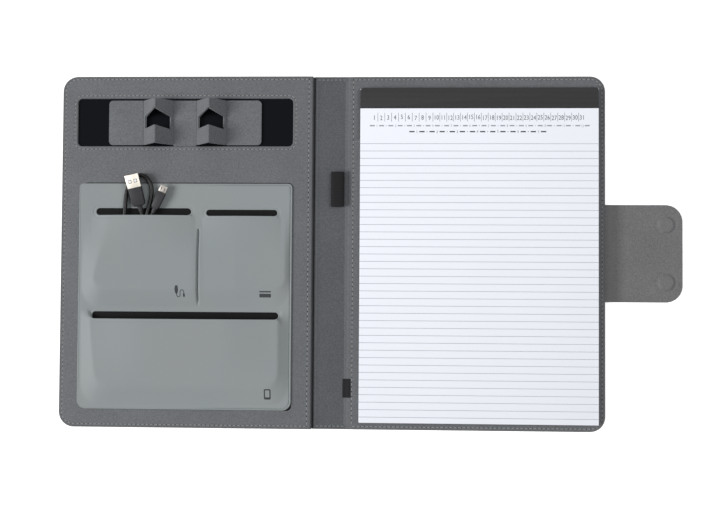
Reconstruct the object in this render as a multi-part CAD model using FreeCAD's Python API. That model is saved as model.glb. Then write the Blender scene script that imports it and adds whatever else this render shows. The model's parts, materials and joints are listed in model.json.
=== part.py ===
"""Wireless charging pad and phone stand, built into an A4 zip-less folio.

Millimetres.  The folio lies open on its back: X runs from the front cover
(left) over the spine to the back cover and its closing flap (right), Y runs
up the page and Z points up.  The origin is at the middle of the footprint,
on the surface that the folio lies on.
"""
import FreeCAD, Part
import math
import os

V = FreeCAD.Vector
os.makedirs("parts", exist_ok=True)

# ---------------------------------------------------------------- dimensions
HEIGHT = 314.0            # folio height
FOLD_FRONT = -49.6        # hinge line between front cover and spine
FOLD_BACK = -18.1         # hinge line between spine and back cover
COVER = 226.6             # width of each cover, hinge line to free edge
CORNER = 13.5             # outer corner radius
SKIN = 0.8                # outer leathercloth
FRONT_T = 6.4             # front cover thickness
BACK_T = 3.2              # back cover thickness
SPINE_T = 2.8             # spine thickness
SETBACK = 3.0             # boards stop this far from a hinge line
HINGE_GAP = 0.45          # skins stop this far from a hinge line

LEFT = FOLD_FRONT - COVER
RIGHT = FOLD_BACK + COVER

# charging recess in the front cover
REC = (-262.4, -68.2, 94.2, 137.0)     # x0, x1, y0, y1
REC_R = 4.0
INLAY_TOP = 4.8
INLAY_T = 0.9
PAD_X = 0.5 * (REC[0] + REC[1])        # middle of the recess
COIL_Y = 115.5
MODULE = (PAD_X - 30.0, PAD_X + 30.0, 92.8, 148.6)
STEEL_X, STEEL_HALF = 63.0, 15.0       # steel plates left and right of the coil
STEEL_Y = (97.0, 133.0)
KEEPER_Z = (2.6, 4.1)                  # keeper magnets inside the front board

# folding stand
STRIP_T = 1.6
STRIP_Y = (95.2, 135.2)
STRIP_TOP = INLAY_TOP + 0.3 + STRIP_T
MID_HALF = 10.4
FACET = 20.2
TENT_DEG = 52.5
FLAP_L = 31.2
FOLD_GAP = 0.2
STAND_MAGNET_R = 5.0
STAND_MAGNET_X = 19.0     # from the outer fold
STAND_MAGNET_Y = (103.5, 127.0)
NOTCH_Y = (108.7, 119.4)  # phone slot at the fold line
NOTCH_UP = 2.4            # slot floor above the fold line
NOTCH_LEAN = (80.0, 67.0) # lean of the slot's front and rear edges

# moulded pocket panel
PANEL = (-260.0, -68.0, -140.8, 60.8)
PANEL_T = 1.0
RIM_W, RIM_H = 2.2, 0.6
RING_W, RING_H = 3.4, 0.4   # raised ring round the upper side of each slot
SLOTS = {                 # x0, x1, lower lip, upper edge
    "cable": (-244.2, -158.8, 32.1, 38.4),
    "card": (-145.1, -81.4, 31.6, 37.2),
    "phone": (-246.9, -79.8, -60.2, -54.0),
}
# pocket: base x0, x1, y0, mouth y, height at mouth, height deep in, insets l, r, b
POCKETS = {
    "cable": (-256.5, -153.4, -50.2, 32.1, 5.4, 6.6, 16.0, 3.0, 16.0),
    "card": (-151.2, -71.5, -50.2, 31.6, 4.3, 5.2, 3.0, 12.0, 14.0),
    "phone": (-257.6, -70.4, -134.5, -60.2, 8.6, 8.6, 12.0, 11.0, 15.0),
}

# back cover pocket sheet and notepad
SHEET_X = (FOLD_BACK + SETBACK, RIGHT - 0.9)
SHEET_TOP_Y = 101.2
SHEET_T = 0.6
NOTE = (-8.0, 202.0, -150.4, 146.2)
PAGES_Z = (5.3, 8.6)
BIND_W = 18.5

# closing flap
FLAP_W = 86.0
FLAP_T = 1.6
RISER_FOLD = 211.3
TIP_FOLD = 244.6
FLAP_END = 276.2
FLAP_R = 15.0
MAGNET_X = 262.0
MAGNET_Y = 25.3
MAGNET_R = 6.0
BUMP_R, BUMP_H = 8.5, 0.7

# charging lead
CORD_R = 1.75
A_AT, A_WAY = (-203.1, 34.6, 9.8), (-8.4, 35.2, 6.7)      # plug ends and directions
M_AT, M_WAY = (-192.6, 34.3, 9.95), (0.413, 0.911, 0.1)
CORD = [                  # route between the two strain reliefs
    (-202.9, 25.0, 8.8),
    (-204.4, 16.0, 8.6), (-203.8, 4.0, 8.3), (-205.4, -9.0, 8.3),
    (-211.6, -19.6, 8.3), (-221.5, -23.2, 8.3), (-230.0, -17.5, 8.3),
    (-232.8, -6.0, 8.3), (-229.6, 6.5, 8.3), (-223.6, 17.0, 8.6),
    (-219.2, 26.5, 9.2), (-217.8, 37.0, 9.7), (-217.2, 50.0, 9.8),
    (-214.0, 62.4, 9.9), (-205.4, 69.2, 9.2), (-197.2, 65.4, 9.9),
    (-193.2, 55.6, 9.8), (-195.0, 44.6, 9.7), (-198.0, 34.2, 9.6),
    (-199.0, 23.5, 8.9), (-197.6, 13.0, 8.4), (-196.4, 5.0, 8.3),
    (-192.0, -2.2, 8.3), (-185.4, -8.0, 8.3), (-176.2, -8.1, 8.3),
    (-169.4, -1.3, 8.3), (-169.4, 8.3, 8.3), (-176.2, 15.1, 8.3),
    (-186.0, 16.2, 8.4), (-193.2, 20.4, 8.7),
]

# ------------------------------------------------------------------- helpers


def box(x0, x1, y0, y1, z0, z1):
    return Part.makeBox(x1 - x0, y1 - y0, z1 - z0, V(x0, y0, z0))


def rounded(x0, x1, y0, y1, z0, z1, radii):
    """Plate with corner radii (left bottom, right bottom, right top, left top)."""
    lb, rb, rt, lt = radii
    k = math.sqrt(0.5)
    edges = []

    def line(a, b):
        if (V(*a) - V(*b)).Length > 1e-6:
            edges.append(Part.LineSegment(V(*a), V(*b)).toShape())

    def arc(cx, cy, r, a0):
        if r > 0:
            pts = [V(cx + r * math.cos(a), cy + r * math.sin(a), z0)
                   for a in (a0, a0 + math.pi / 4, a0 + math.pi / 2)]
            edges.append(Part.Arc(*pts).toShape())

    line((x0 + lb, y0, z0), (x1 - rb, y0, z0))
    arc(x1 - rb, y0 + rb, rb, -math.pi / 2)
    line((x1, y0 + rb, z0), (x1, y1 - rt, z0))
    arc(x1 - rt, y1 - rt, rt, 0)
    line((x1 - rt, y1, z0), (x0 + lt, y1, z0))
    arc(x0 + lt, y1 - lt, lt, math.pi / 2)
    line((x0, y1 - lt, z0), (x0, y0 + lb, z0))
    arc(x0 + lb, y0 + lb, lb, math.pi)
    return Part.Face(Part.Wire(edges)).extrude(V(0, 0, z1 - z0))


def disc(x, y, r, z0, z1):
    return Part.makeCylinder(r, z1 - z0, V(x, y, z0))


def prism(points, direction):
    pts = [V(*p) for p in points]
    return Part.Face(Part.makePolygon(pts + [pts[0]])).extrude(V(*direction))


def ring_points(x0, x1, y0, y1, radii, z_of_y, n=4):
    """Rounded rectangle as a closed polygon, its height following z_of_y."""
    lb, rb, rt, lt = radii
    out = []
    for cx, cy, r, a0 in ((x1 - rb, y0 + rb, rb, -90), (x1 - rt, y1 - rt, rt, 0),
                          (x0 + lt, y1 - lt, lt, 90), (x0 + lb, y0 + lb, lb, 180)):
        for i in range(n + 1):
            a = math.radians(a0 + 90.0 * i / n)
            out.append((cx + r * math.cos(a), cy + r * math.sin(a)))
    return [V(x, y, z_of_y(y)) for x, y in out]


def frustum(low, high):
    """Solid between two closed polygons with equal point counts."""
    wires = [Part.makePolygon(p + [p[0]]) for p in (low, high)]
    return Part.makeLoft(wires, True, True)


def clean(shape):
    shape = shape.removeSplitter()
    if shape.ShapeType == "Compound" and len(shape.Solids) == 1:
        shape = shape.Solids[0]
    return shape


def write(name, shape):
    shape = clean(shape)
    assert shape.isValid(), name
    assert all(s.isClosed() for s in shape.Solids), name
    shape.exportStep("parts/%s.step" % name)
    print("%-22s solids %d  volume %.1f mm3" % (name, len(shape.Solids), shape.Volume))


def cord_wire(points):
    """Straight runs joined by tangent arcs; prints the smallest radius."""
    pts = [V(*p) for p in points]
    edges, start, radii = [], pts[0], []
    for a, b, c in zip(pts, pts[1:], pts[2:]):
        u, w = (b - a), (c - b)
        run = 0.45 * min(u.Length, w.Length)
        u.normalize()
        w.normalize()
        turn = math.acos(max(-1.0, min(1.0, u.dot(w))))
        radius = run / math.tan(turn / 2)
        radii.append(radius)
        p, q = b - u * run, b + w * run
        inward = (w - u)
        inward.normalize()
        centre = b + inward * (radius / math.cos(turn / 2))
        mid = centre + (b - centre).normalize() * radius
        edges.append(Part.LineSegment(start, p).toShape())
        edges.append(Part.Arc(p, mid, q).toShape())
        start = q
    edges.append(Part.LineSegment(start, pts[-1]).toShape())
    print("cord radii mm: smallest %.1f" % min(radii), [round(r, 1) for r in radii])
    return Part.Wire(edges)


def sweep(wire, radius):
    edge = wire.Edges[0]
    start = edge.Vertexes[0].Point
    ahead = (edge.Vertexes[1].Point - start).normalize()
    profile = Part.Wire(Part.makeCircle(radius, start, ahead))
    solid = wire.makePipeShell([profile], True, False)
    print("cord length %.1f mm, volume %.1f against %.1f" % (
        wire.Length, solid.Volume, math.pi * radius ** 2 * wire.Length))
    return solid


# --------------------------------------------------------------- front cover
IN_EDGE = FOLD_FRONT - SETBACK
half = HEIGHT / 2

outer = rounded(LEFT, FOLD_FRONT - HINGE_GAP, -half, half, 0, FRONT_T, (CORNER, 0, 0, CORNER))
inside = rounded(LEFT + SKIN, FOLD_FRONT, -half + SKIN, half - SKIN, SKIN, FRONT_T + 1,
                 (CORNER - SKIN, 0, 0, CORNER - SKIN))
beyond = box(IN_EDGE, FOLD_FRONT, -half - 1, half + 1, SKIN, FRONT_T + 1)
port = box(PAD_X - 4.6, PAD_X + 4.6, half - 2, half + 1, 1.9, 4.9)
write("front_skin", outer.cut(inside).cut(beyond).cut(port))

board = rounded(LEFT + SKIN, IN_EDGE, -half + SKIN, half - SKIN, SKIN, FRONT_T - SKIN,
                (CORNER - SKIN, 0, 0, CORNER - SKIN))
inlay_box = (REC[0] - 1.6, REC[1] + 1.6, REC[2] - 1.6, REC[3] + 1.6)
board = board.cut(rounded(*inlay_box, INLAY_TOP - INLAY_T, FRONT_T, (REC_R,) * 4))
board = board.cut(rounded(*MODULE, SKIN, FRONT_T, (2.0,) * 4))
board = board.cut(box(PAD_X - 6.0, PAD_X + 6.0, 148.0, half, SKIN, FRONT_T - SKIN))
STEEL = [(PAD_X + s * STEEL_X - STEEL_HALF, PAD_X + s * STEEL_X + STEEL_HALF) for s in (-1, 1)]
for x0, x1 in STEEL:
    board = board.cut(box(x0, x1, *STEEL_Y, INLAY_TOP - INLAY_T - 0.5, FRONT_T))
KEEPER_X = FOLD_FRONT - (RISER_FOLD - (MAGNET_X - TIP_FOLD) - FOLD_BACK)
KEEPERS = [(KEEPER_X, y) for y in (-MAGNET_Y, MAGNET_Y)]
for x, y in KEEPERS:
    board = board.cut(disc(x, y, MAGNET_R, *KEEPER_Z))
write("front_board", board)
write("keeper_magnets", Part.makeCompound([disc(x, y, MAGNET_R, *KEEPER_Z) for x, y in KEEPERS]))

lining = rounded(LEFT + SKIN, IN_EDGE, -half + SKIN, half - SKIN, FRONT_T - SKIN, FRONT_T,
                 (CORNER - SKIN, 0, 0, CORNER - SKIN))
write("front_lining", lining.cut(rounded(*REC, 0, 10, (REC_R,) * 4)))

# ----------------------------------------------------------- charging module
write("charge_surface", rounded(*inlay_box, INLAY_TOP - INLAY_T, INLAY_TOP, (REC_R,) * 4))
write("steel_plates", Part.makeCompound(
    [box(x0, x1, *STEEL_Y, INLAY_TOP - INLAY_T - 0.5, INLAY_TOP - INLAY_T)
     for x0, x1 in STEEL]))
MOD_TOP = INLAY_TOP - INLAY_T
base = rounded(*MODULE, SKIN, MOD_TOP - 0.5, (2.0,) * 4)
base = base.cut(rounded(MODULE[0] + 1, MODULE[1] - 1, MODULE[2] + 1, MODULE[3] - 1,
                        SKIN + 0.6, MOD_TOP, (1.0,) * 4))
gap = box(PAD_X - 4.0, PAD_X + 4.0, MODULE[3] - 2, MODULE[3] + 1, SKIN + 0.6, MOD_TOP)
write("module_base", base.cut(gap))
write("module_lid", rounded(*MODULE, MOD_TOP - 0.5, MOD_TOP, (2.0,) * 4).cut(gap))
FLOOR = SKIN + 0.6
write("ferrite_sheet", box(PAD_X - 22.5, PAD_X + 22.5, COIL_Y - 21.2, COIL_Y + 21.2,
                           FLOOR, FLOOR + 0.5))
# the winding: half circles of growing radius, drawn once outside and once inside
turns, wire_w, pitch, r0 = 9, 0.75, 1.05, 10.5
outer_side, inner_side = [], []
for k in range(2 * turns):
    radius = r0 + pitch * k / 2
    cx = PAD_X + (pitch / 4 if k % 2 else -pitch / 4)
    sign = 1 if k % 2 == 0 else -1
    for side, rr in ((outer_side, radius + wire_w / 2), (inner_side, radius - wire_w / 2)):
        ends = [V(cx + sign * rr, COIL_Y, 0), V(cx, COIL_Y + sign * rr, 0),
                V(cx - sign * rr, COIL_Y, 0)]
        side.append(Part.Arc(*ends).toShape())
first_o, first_i = outer_side[0].Vertexes[0].Point, inner_side[0].Vertexes[0].Point
last_o, last_i = outer_side[-1].Vertexes[1].Point, inner_side[-1].Vertexes[1].Point
caps = [Part.LineSegment(first_o, first_i).toShape(), Part.LineSegment(last_o, last_i).toShape()]
loop = Part.Wire(Part.__sortEdges__(outer_side + inner_side + caps))
coil = Part.Face(loop).extrude(V(0, 0, 0.8))
coil.translate(V(0, 0, FLOOR + 0.5))
write("charging_coil", coil)
pcb = (PAD_X - 21.0, PAD_X + 21.0, 138.2, 147.2)
write("circuit_board", box(*pcb, FLOOR, FLOOR + 0.8))
write("power_chip", box(PAD_X - 15.0, PAD_X - 10.0, 140.2, 145.2, FLOOR + 0.8, FLOOR + 1.6))
write("board_capacitors", Part.makeCompound(
    [box(PAD_X + x, PAD_X + x + 3.0, 141.2, 143.4, FLOOR + 0.8, FLOOR + 1.7)
     for x in (8.0, 12.2, 16.4)]))
socket = box(PAD_X - 3.9, PAD_X + 3.9, 147.4, half - SKIN - 0.1, FLOOR + 0.8, FLOOR + 3.3)
socket = socket.cut(box(PAD_X - 3.5, PAD_X + 3.5, 150.4, half, FLOOR + 1.15, FLOOR + 2.95))
write("input_socket", socket)

# --------------------------------------------------------------------- stand
write("stand_middle", box(PAD_X - MID_HALF + FOLD_GAP, PAD_X + MID_HALF - FOLD_GAP,
                          REC[2], STRIP_Y[1], INLAY_TOP, STRIP_TOP))


def facet():
    """One stand facet drawn flat: u runs from its valley fold to its ridge."""
    plate = box(FOLD_GAP, FACET - FOLD_GAP, *STRIP_Y, -STRIP_T, 0)
    s = math.sin(math.radians(TENT_DEG))
    rise = FACET * s
    front = NOTCH_Y[0] + rise / math.tan(math.radians(NOTCH_LEAN[0]))
    rear = NOTCH_Y[1] + rise / math.tan(math.radians(NOTCH_LEAN[1]))
    u0 = NOTCH_UP / s
    f0 = NOTCH_Y[0] + NOTCH_UP / math.tan(math.radians(NOTCH_LEAN[0]))
    b0 = NOTCH_Y[1] + NOTCH_UP / math.tan(math.radians(NOTCH_LEAN[1]))
    notch = prism([(u0, f0, -5), (FACET + 1, front, -5), (FACET + 1, rear, -5), (u0, b0, -5)],
                  (0, 0, 10))
    return plate.cut(notch)


def place(shape, tilt, x, z, flip):
    """Turn a flat piece about its valley fold, then set the fold line."""
    if flip:
        shape = shape.mirror(V(0, 0, 0), V(1, 0, 0))
    shape = shape.copy()
    shape.rotate(V(0, 0, 0), V(0, 1, 0), (1 if flip else -1) * tilt)
    shape.translate(V(x, 0, z))
    return shape


c, s = math.cos(math.radians(TENT_DEG)), math.sin(math.radians(TENT_DEG))
HALF_PLAN = FACET * c + STRIP_T * s
RIDGE_Z = STRIP_TOP + FACET * s - STRIP_T * c
for name, sgn in (("left", -1), ("right", 1)):
    valley_in = PAD_X + sgn * MID_HALF
    ridge = valley_in + sgn * HALF_PLAN
    valley_out = ridge + sgn * HALF_PLAN
    write("stand_%s_inner" % name, place(facet(), TENT_DEG, valley_in, STRIP_TOP, sgn < 0))
    write("stand_%s_outer" % name, place(facet(), TENT_DEG, valley_out, STRIP_TOP, sgn > 0))
    x0, x1 = sorted((valley_out + sgn * FOLD_GAP, valley_out + sgn * FLAP_L))
    r = (3.6, 0, 0, 3.6) if sgn < 0 else (0, 3.6, 3.6, 0)
    flap = rounded(x0, x1, *STRIP_Y, STRIP_TOP - STRIP_T, STRIP_TOP, r)
    discs = [disc(valley_out + sgn * STAND_MAGNET_X, y, STAND_MAGNET_R,
                  STRIP_TOP - STRIP_T, STRIP_TOP - 0.5) for y in STAND_MAGNET_Y]
    for d in discs:
        flap = flap.cut(d)
    write("stand_%s_flap" % name, flap)
    write("stand_%s_magnets" % name, Part.makeCompound(discs))
    print("stand %s: inner fold x %.3f, ridge x %.3f z %.3f, outer fold x %.3f" % (
        name, valley_in, ridge, RIDGE_Z, valley_out))

# -------------------------------------------------------------- pocket panel
Z0 = FRONT_T
panel = rounded(*PANEL, Z0, Z0 + PANEL_T, (8.0, 8.0, 4.0, 4.0))
rim = rounded(*PANEL, Z0, Z0 + PANEL_T + RIM_H, (8.0, 8.0, 4.0, 4.0)).cut(
    rounded(PANEL[0] + RIM_W, PANEL[1] - RIM_W, PANEL[2] + RIM_W, PANEL[3] - RIM_W,
            Z0 - 1, Z0 + 9, (6.0, 6.0, 2.5, 2.5)))
panel = panel.fuse(rim)
hollows = []
for name, (x0, x1, y0, ym, hm, hd, il, ir, ib) in POCKETS.items():
    full = ym - 16.0 if hm != hd else ym

    def shell(g, lift):
        """Pocket pillow, g inside the outer faces; lift raises its roof."""
        top_y = ym if g == 0 else ym - g
        low = ring_points(x0 + g, x1 - g, y0 + g, top_y, (9 - g, 9 - g, 1.5, 1.5),
                          lambda y: Z0 - 0.01 if g else Z0 + 0.3)
        roof = lambda y: Z0 + lift + (hd if y <= full else hd + (hm - hd) * (y - full) / (ym - full))
        if hm == hd:
            high = ring_points(x0 + il + g * 0.6, x1 - ir - g * 0.6, y0 + ib + g * 0.6, top_y,
                               (7, 7, 1.5, 1.5), roof)
            return frustum(low, high)
        # sloping roof: a deep part and a ramp down to the mouth
        high = ring_points(x0 + il + g * 0.6, x1 - ir - g * 0.6, y0 + ib + g * 0.6, top_y,
                           (7, 7, 1.5, 1.5), lambda y: Z0 + lift + hd)
        body = frustum(low, high)
        wedge = prism([(x0 - 5, ym + 0.01, Z0 + lift + hm), (x0 - 5, full, Z0 + lift + hd),
                       (x0 - 5, full, Z0 + lift + hd + 5), (x0 - 5, ym + 0.01, Z0 + lift + hd + 5)],
                      (x1 - x0 + 10, 0, 0))
        return body.cut(wedge)

    panel = panel.fuse(shell(0, PANEL_T))
    hollows.append(shell(PANEL_T, 0))
    sx0, sx1, lip, top = SLOTS[name]
    r = (top - lip) / 2
    panel = panel.fuse(rounded(sx0 - RING_W, sx1 + RING_W, lip + 0.01, top + RING_W,
                               Z0, Z0 + PANEL_T + RING_H, (0.5, 0.5, r + 3, r + 3)))
    hollows.append(rounded(sx0, sx1, lip - 0.5, top, Z0 - 1, Z0 + 30, (0.2, 0.2, r * 1.4, r * 1.4))
                   .common(box(sx0, sx1, lip, top, Z0 - 1, Z0 + 30)))
    # slot and hollow meet under the flat of the roof, one wall in from its edges
    roof_x = (max(sx0, x0 + il + PANEL_T), min(sx1, x1 - ir - PANEL_T))
    hollows.append(box(*roof_x, lip - 4, lip + 1, Z0 - 0.01, Z0 + hm - 0.02))
for h in hollows:
    panel = panel.cut(h)
write("pocket_panel", panel)

# --------------------------------------------------------------------- spine
write("spine_skin", box(FOLD_FRONT + HINGE_GAP, FOLD_BACK - HINGE_GAP, -half, half, 0, SKIN))
write("spine_board", box(FOLD_FRONT + 2.0, FOLD_BACK - 2.0, -half + 2, half - 2, SKIN, SPINE_T - SKIN))
lin = box(FOLD_FRONT + 0.8, FOLD_BACK - 0.8, -half, half, SKIN, SPINE_T)
write("spine_lining", lin.cut(box(FOLD_FRONT + 2.0, FOLD_BACK - 2.0, -half + 2, half - 2,
                                  0, SPINE_T - SKIN)))
loop_o = rounded(-34.0, -21.9, 0, 6.0, 40.4, 71.4, (2.4,) * 4)
loop_i = rounded(-33.2, -22.7, 0.7, 5.3, 40.0, 72.0, (1.8,) * 4)
pen = loop_o.cut(loop_i)
pen.rotate(V(0, 0, 0), V(1, 0, 0), 90)      # (x, y, z) -> (x, -z, y)
pen = pen.mirror(V(0, 0, 0), V(0, 1, 0))
pen.translate(V(0, 0, SPINE_T))
write("pen_loop", pen)
write("side_tag", box(-22.6, FOLD_BACK - 0.8, -128.9, -112.3, SPINE_T, SPINE_T + 0.3))

# ---------------------------------------------------------------- back cover
IN_BACK = FOLD_BACK + SETBACK
outer = rounded(FOLD_BACK + HINGE_GAP, RIGHT, -half, half, 0, BACK_T, (0, CORNER, CORNER, 0))
inside = rounded(FOLD_BACK, RIGHT - SKIN, -half + SKIN, half - SKIN, SKIN, BACK_T + 1,
                 (0, CORNER - SKIN, CORNER - SKIN, 0))
beyond = box(FOLD_BACK, IN_BACK, -half - 1, half + 1, SKIN, BACK_T + 1)
mouth = box(RIGHT - 2, RIGHT + 1, -FLAP_W / 2, FLAP_W / 2, SKIN, BACK_T + 1)
write("back_skin", outer.cut(inside).cut(beyond).cut(mouth))
anchor = (RIGHT - 22.0, RISER_FOLD - HINGE_GAP, -FLAP_W / 2, FLAP_W / 2)
write("flap_anchor", box(*anchor, SKIN, SKIN + 0.8))
board = rounded(IN_BACK, RIGHT - SKIN, -half + SKIN, half - SKIN, SKIN, BACK_T - SKIN,
                (0, CORNER - SKIN, CORNER - SKIN, 0))
write("back_board", board.cut(box(*anchor, 0, SKIN + 0.8)))
lining = rounded(IN_BACK, RIGHT - SKIN, -half + SKIN, half - SKIN, BACK_T - SKIN, BACK_T,
                 (0, CORNER - SKIN, CORNER - SKIN, 0))
write("back_lining", lining)
SHEET_Z = BACK_T + 1.2
sheet = rounded(SHEET_X[0], SHEET_X[1], -half + 0.9, SHEET_TOP_Y, BACK_T, SHEET_Z + SHEET_T,
                (0, CORNER - 1.6, 0, 0))
sheet = sheet.cut(box(SHEET_X[0] - 1, NOTE[0] - 0.4, -half, half, BACK_T + 0.8, 20))
sheet = sheet.cut(box(NOTE[0] - 0.4, NOTE[1] + 0.4, NOTE[2] - 0.4, half, 0, SHEET_Z))
write("pocket_sheet", sheet)

# ------------------------------------------------------------------- notepad
write("pad_backing", box(*NOTE, BACK_T + 0.3, BACK_T + 0.9))
write("pad_pages", box(NOTE[0], NOTE[1], NOTE[2], NOTE[3] - 1.0, *PAGES_Z))
bind = box(NOTE[0], NOTE[1], NOTE[3] - BIND_W, NOTE[3], BACK_T + 0.9, PAGES_Z[1] + 0.3)
bind = bind.cut(box(NOTE[0] - 1, NOTE[1] + 1, NOTE[2], NOTE[3] - 1.0, *PAGES_Z))
write("pad_binding", bind)

# -------------------------------------------------------------- closing flap
write("flap_riser", box(RISER_FOLD + HINGE_GAP, TIP_FOLD - HINGE_GAP, -FLAP_W / 2, FLAP_W / 2, 0, FLAP_T))
tip = (TIP_FOLD + HINGE_GAP, FLAP_END, -FLAP_W / 2, FLAP_W / 2)
tip_r = (0, FLAP_R, FLAP_R, 0)
write("flap_tip_skin", rounded(*tip, 0, SKIN, tip_r))
tip_lining = rounded(*tip, SKIN, FLAP_T, tip_r)
mags = []
for y in (-MAGNET_Y, MAGNET_Y):
    bump = Part.makeCone(BUMP_R, BUMP_R - 1.6, BUMP_H, V(MAGNET_X, y, FLAP_T))
    tip_lining = tip_lining.fuse(bump)
    mags.append(disc(MAGNET_X, y, MAGNET_R, SKIN, FLAP_T + BUMP_H - 0.5))
for m in mags:
    tip_lining = tip_lining.cut(m)
write("flap_tip_lining", tip_lining)
write("flap_magnets", Part.makeCompound(mags))

# ------------------------------------------------------------- charging lead
a_at, m_at = V(*A_AT), V(*M_AT)
a_way, m_way = V(*A_WAY).normalize(), V(*M_WAY).normalize()
route = [a_at, a_at - a_way * 3.75] + [V(*p) for p in CORD] + [m_at - m_way * 6.6, m_at]
lead = sweep(cord_wire(route), CORD_R)
write("lead_cord", lead)


def plug(at, d, pieces):
    """Place plug pieces drawn along +X so that they run from at along d."""
    yaw = math.degrees(math.atan2(d.y, d.x))
    pitch = math.degrees(math.asin(d.z))
    out = []
    for p in pieces:
        p = p.copy()
        p.rotate(V(0, 0, 0), V(0, 1, 0), -pitch)
        p.rotate(V(0, 0, 0), V(0, 0, 1), yaw)
        p.translate(at)
        out.append(p)
    return out


def tapered(x0, x1, w0, t0, w1, t1):
    lo = [V(x0, -w0 / 2, -t0 / 2), V(x0, w0 / 2, -t0 / 2), V(x0, w0 / 2, t0 / 2), V(x0, -w0 / 2, t0 / 2)]
    hi = [V(x1, -w1 / 2, -t1 / 2), V(x1, w1 / 2, -t1 / 2), V(x1, w1 / 2, t1 / 2), V(x1, -w1 / 2, t1 / 2)]
    return frustum(lo, hi)


# USB-A plug: relief, overmould, shell and contact tongue, along its own axis
a_body = Part.makeCone(1.9, 2.3, 6.0, V(0, 0, 0), V(1, 0, 0)).fuse(
    [tapered(6.0, 8.0, 8.6, 5.0, 11.2, 6.6), tapered(8.0, 22.6, 11.2, 6.6, 11.8, 6.6)])
a_shell = box(22.6, 34.6, -6.0, 6.0, -2.25, 2.25).cut(box(23.4, 36.0, -5.7, 5.7, -1.95, 1.95))
a_tongue = box(23.4, 33.2, -5.5, 5.5, -1.95, -0.2)
# micro plug: relief, overmould and shell
m_body = Part.makeCone(1.8, 2.1, 4.3, V(0, 0, 0), V(1, 0, 0)).fuse(
    [tapered(4.3, 6.0, 5.0, 3.8, 6.4, 5.0), tapered(6.0, 19.8, 6.4, 5.0, 7.4, 5.0)])
m_shell = box(19.8, 26.2, -3.4, 3.4, -0.95, 0.95).cut(box(20.8, 27.0, -3.1, 3.1, -0.65, 0.65))
for at, way, named in (
        (a_at, a_way, {"usb_a_body": a_body, "usb_a_shell": a_shell, "usb_a_tongue": a_tongue}),
        (m_at, m_way, {"micro_body": m_body, "micro_shell": m_shell})):
    for name, piece in zip(named, plug(at, way, list(named.values()))):
        write(name, piece)
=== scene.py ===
"""Looks of the charging folio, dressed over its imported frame.

Lengths inside the code are millimetres in the frame's axes, with X across
the open folio, Y up the page and Z up; points become metres when a mesh is
made.  Every new piece is a grid of points worked out with numpy.
"""
import json
import math

import bmesh
import bpy
import numpy as np
from bpy.props import FloatProperty, FloatVectorProperty, IntProperty, PointerProperty
from mathutils import Matrix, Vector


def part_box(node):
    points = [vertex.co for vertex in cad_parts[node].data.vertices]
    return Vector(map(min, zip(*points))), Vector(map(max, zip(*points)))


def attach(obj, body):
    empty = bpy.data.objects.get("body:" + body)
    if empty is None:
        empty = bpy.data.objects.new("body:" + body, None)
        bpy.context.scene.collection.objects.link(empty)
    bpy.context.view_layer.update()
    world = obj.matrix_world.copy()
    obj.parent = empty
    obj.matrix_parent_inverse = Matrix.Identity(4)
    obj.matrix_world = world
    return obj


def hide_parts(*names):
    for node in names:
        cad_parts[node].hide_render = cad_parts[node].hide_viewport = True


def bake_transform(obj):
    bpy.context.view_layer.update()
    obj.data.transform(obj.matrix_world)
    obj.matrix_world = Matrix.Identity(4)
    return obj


bl_info = {
    "name": "Charging folio",
    "version": (1, 0, 0),
    "blender": (4, 5, 0),
    "location": "3D View > Sidebar > Folio",
    "description": "Cloth, moulded pockets, folding stand, notepad and lead of a charging folio",
    "category": "Object",
}

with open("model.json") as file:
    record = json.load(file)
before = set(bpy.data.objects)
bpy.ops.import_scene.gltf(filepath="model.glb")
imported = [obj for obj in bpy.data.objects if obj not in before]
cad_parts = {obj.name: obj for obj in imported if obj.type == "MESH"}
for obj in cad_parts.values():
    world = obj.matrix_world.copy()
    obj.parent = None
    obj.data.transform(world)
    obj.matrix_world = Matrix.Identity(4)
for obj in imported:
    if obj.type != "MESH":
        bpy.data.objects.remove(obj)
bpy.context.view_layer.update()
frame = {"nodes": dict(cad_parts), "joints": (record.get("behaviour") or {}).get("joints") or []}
NODES = frame["nodes"]
MM = 0.001

# ------------------------------------------------------------ frame's places


def span(node):
    """Lowest and highest corner of a CAD node, in millimetres."""
    return tuple(1000.0 * np.array(corner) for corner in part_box(node))


AXIS = {j["name"]: 1000.0 * np.array(j.get("pos_m", (0, 0, 0))) for j in frame["joints"]}
FOLD_FRONT, FOLD_BACK = AXIS["cover_fold"][0], AXIS["spine_fold"][0]
LOW, HIGH = span("front_skin")
LEFT, TOP, FRONT_T = LOW[0], HIGH[1], HIGH[2]
RIGHT, BACK_T = span("back_skin")[1][0], span("back_skin")[1][2]
SPINE_T = span("spine_lining")[1][2]
CORNER = 13.5
FRONT_CUT, BACK_CUT = FOLD_FRONT - 6.6, FOLD_BACK + 6.6     # where the fold strips begin
SPINE_CUT = (FOLD_FRONT + 3.4, FOLD_BACK - 3.4)
INLAY = span("charge_surface")
RECESS = (INLAY[0][0] + 1.6, INLAY[1][0] - 1.6, INLAY[0][1] + 1.6, INLAY[1][1] - 1.6)
INLAY_TOP = INLAY[1][2]
PAD_X = 0.5 * (RECESS[0] + RECESS[1])

# ------------------------------------------------------------------ settings


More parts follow.
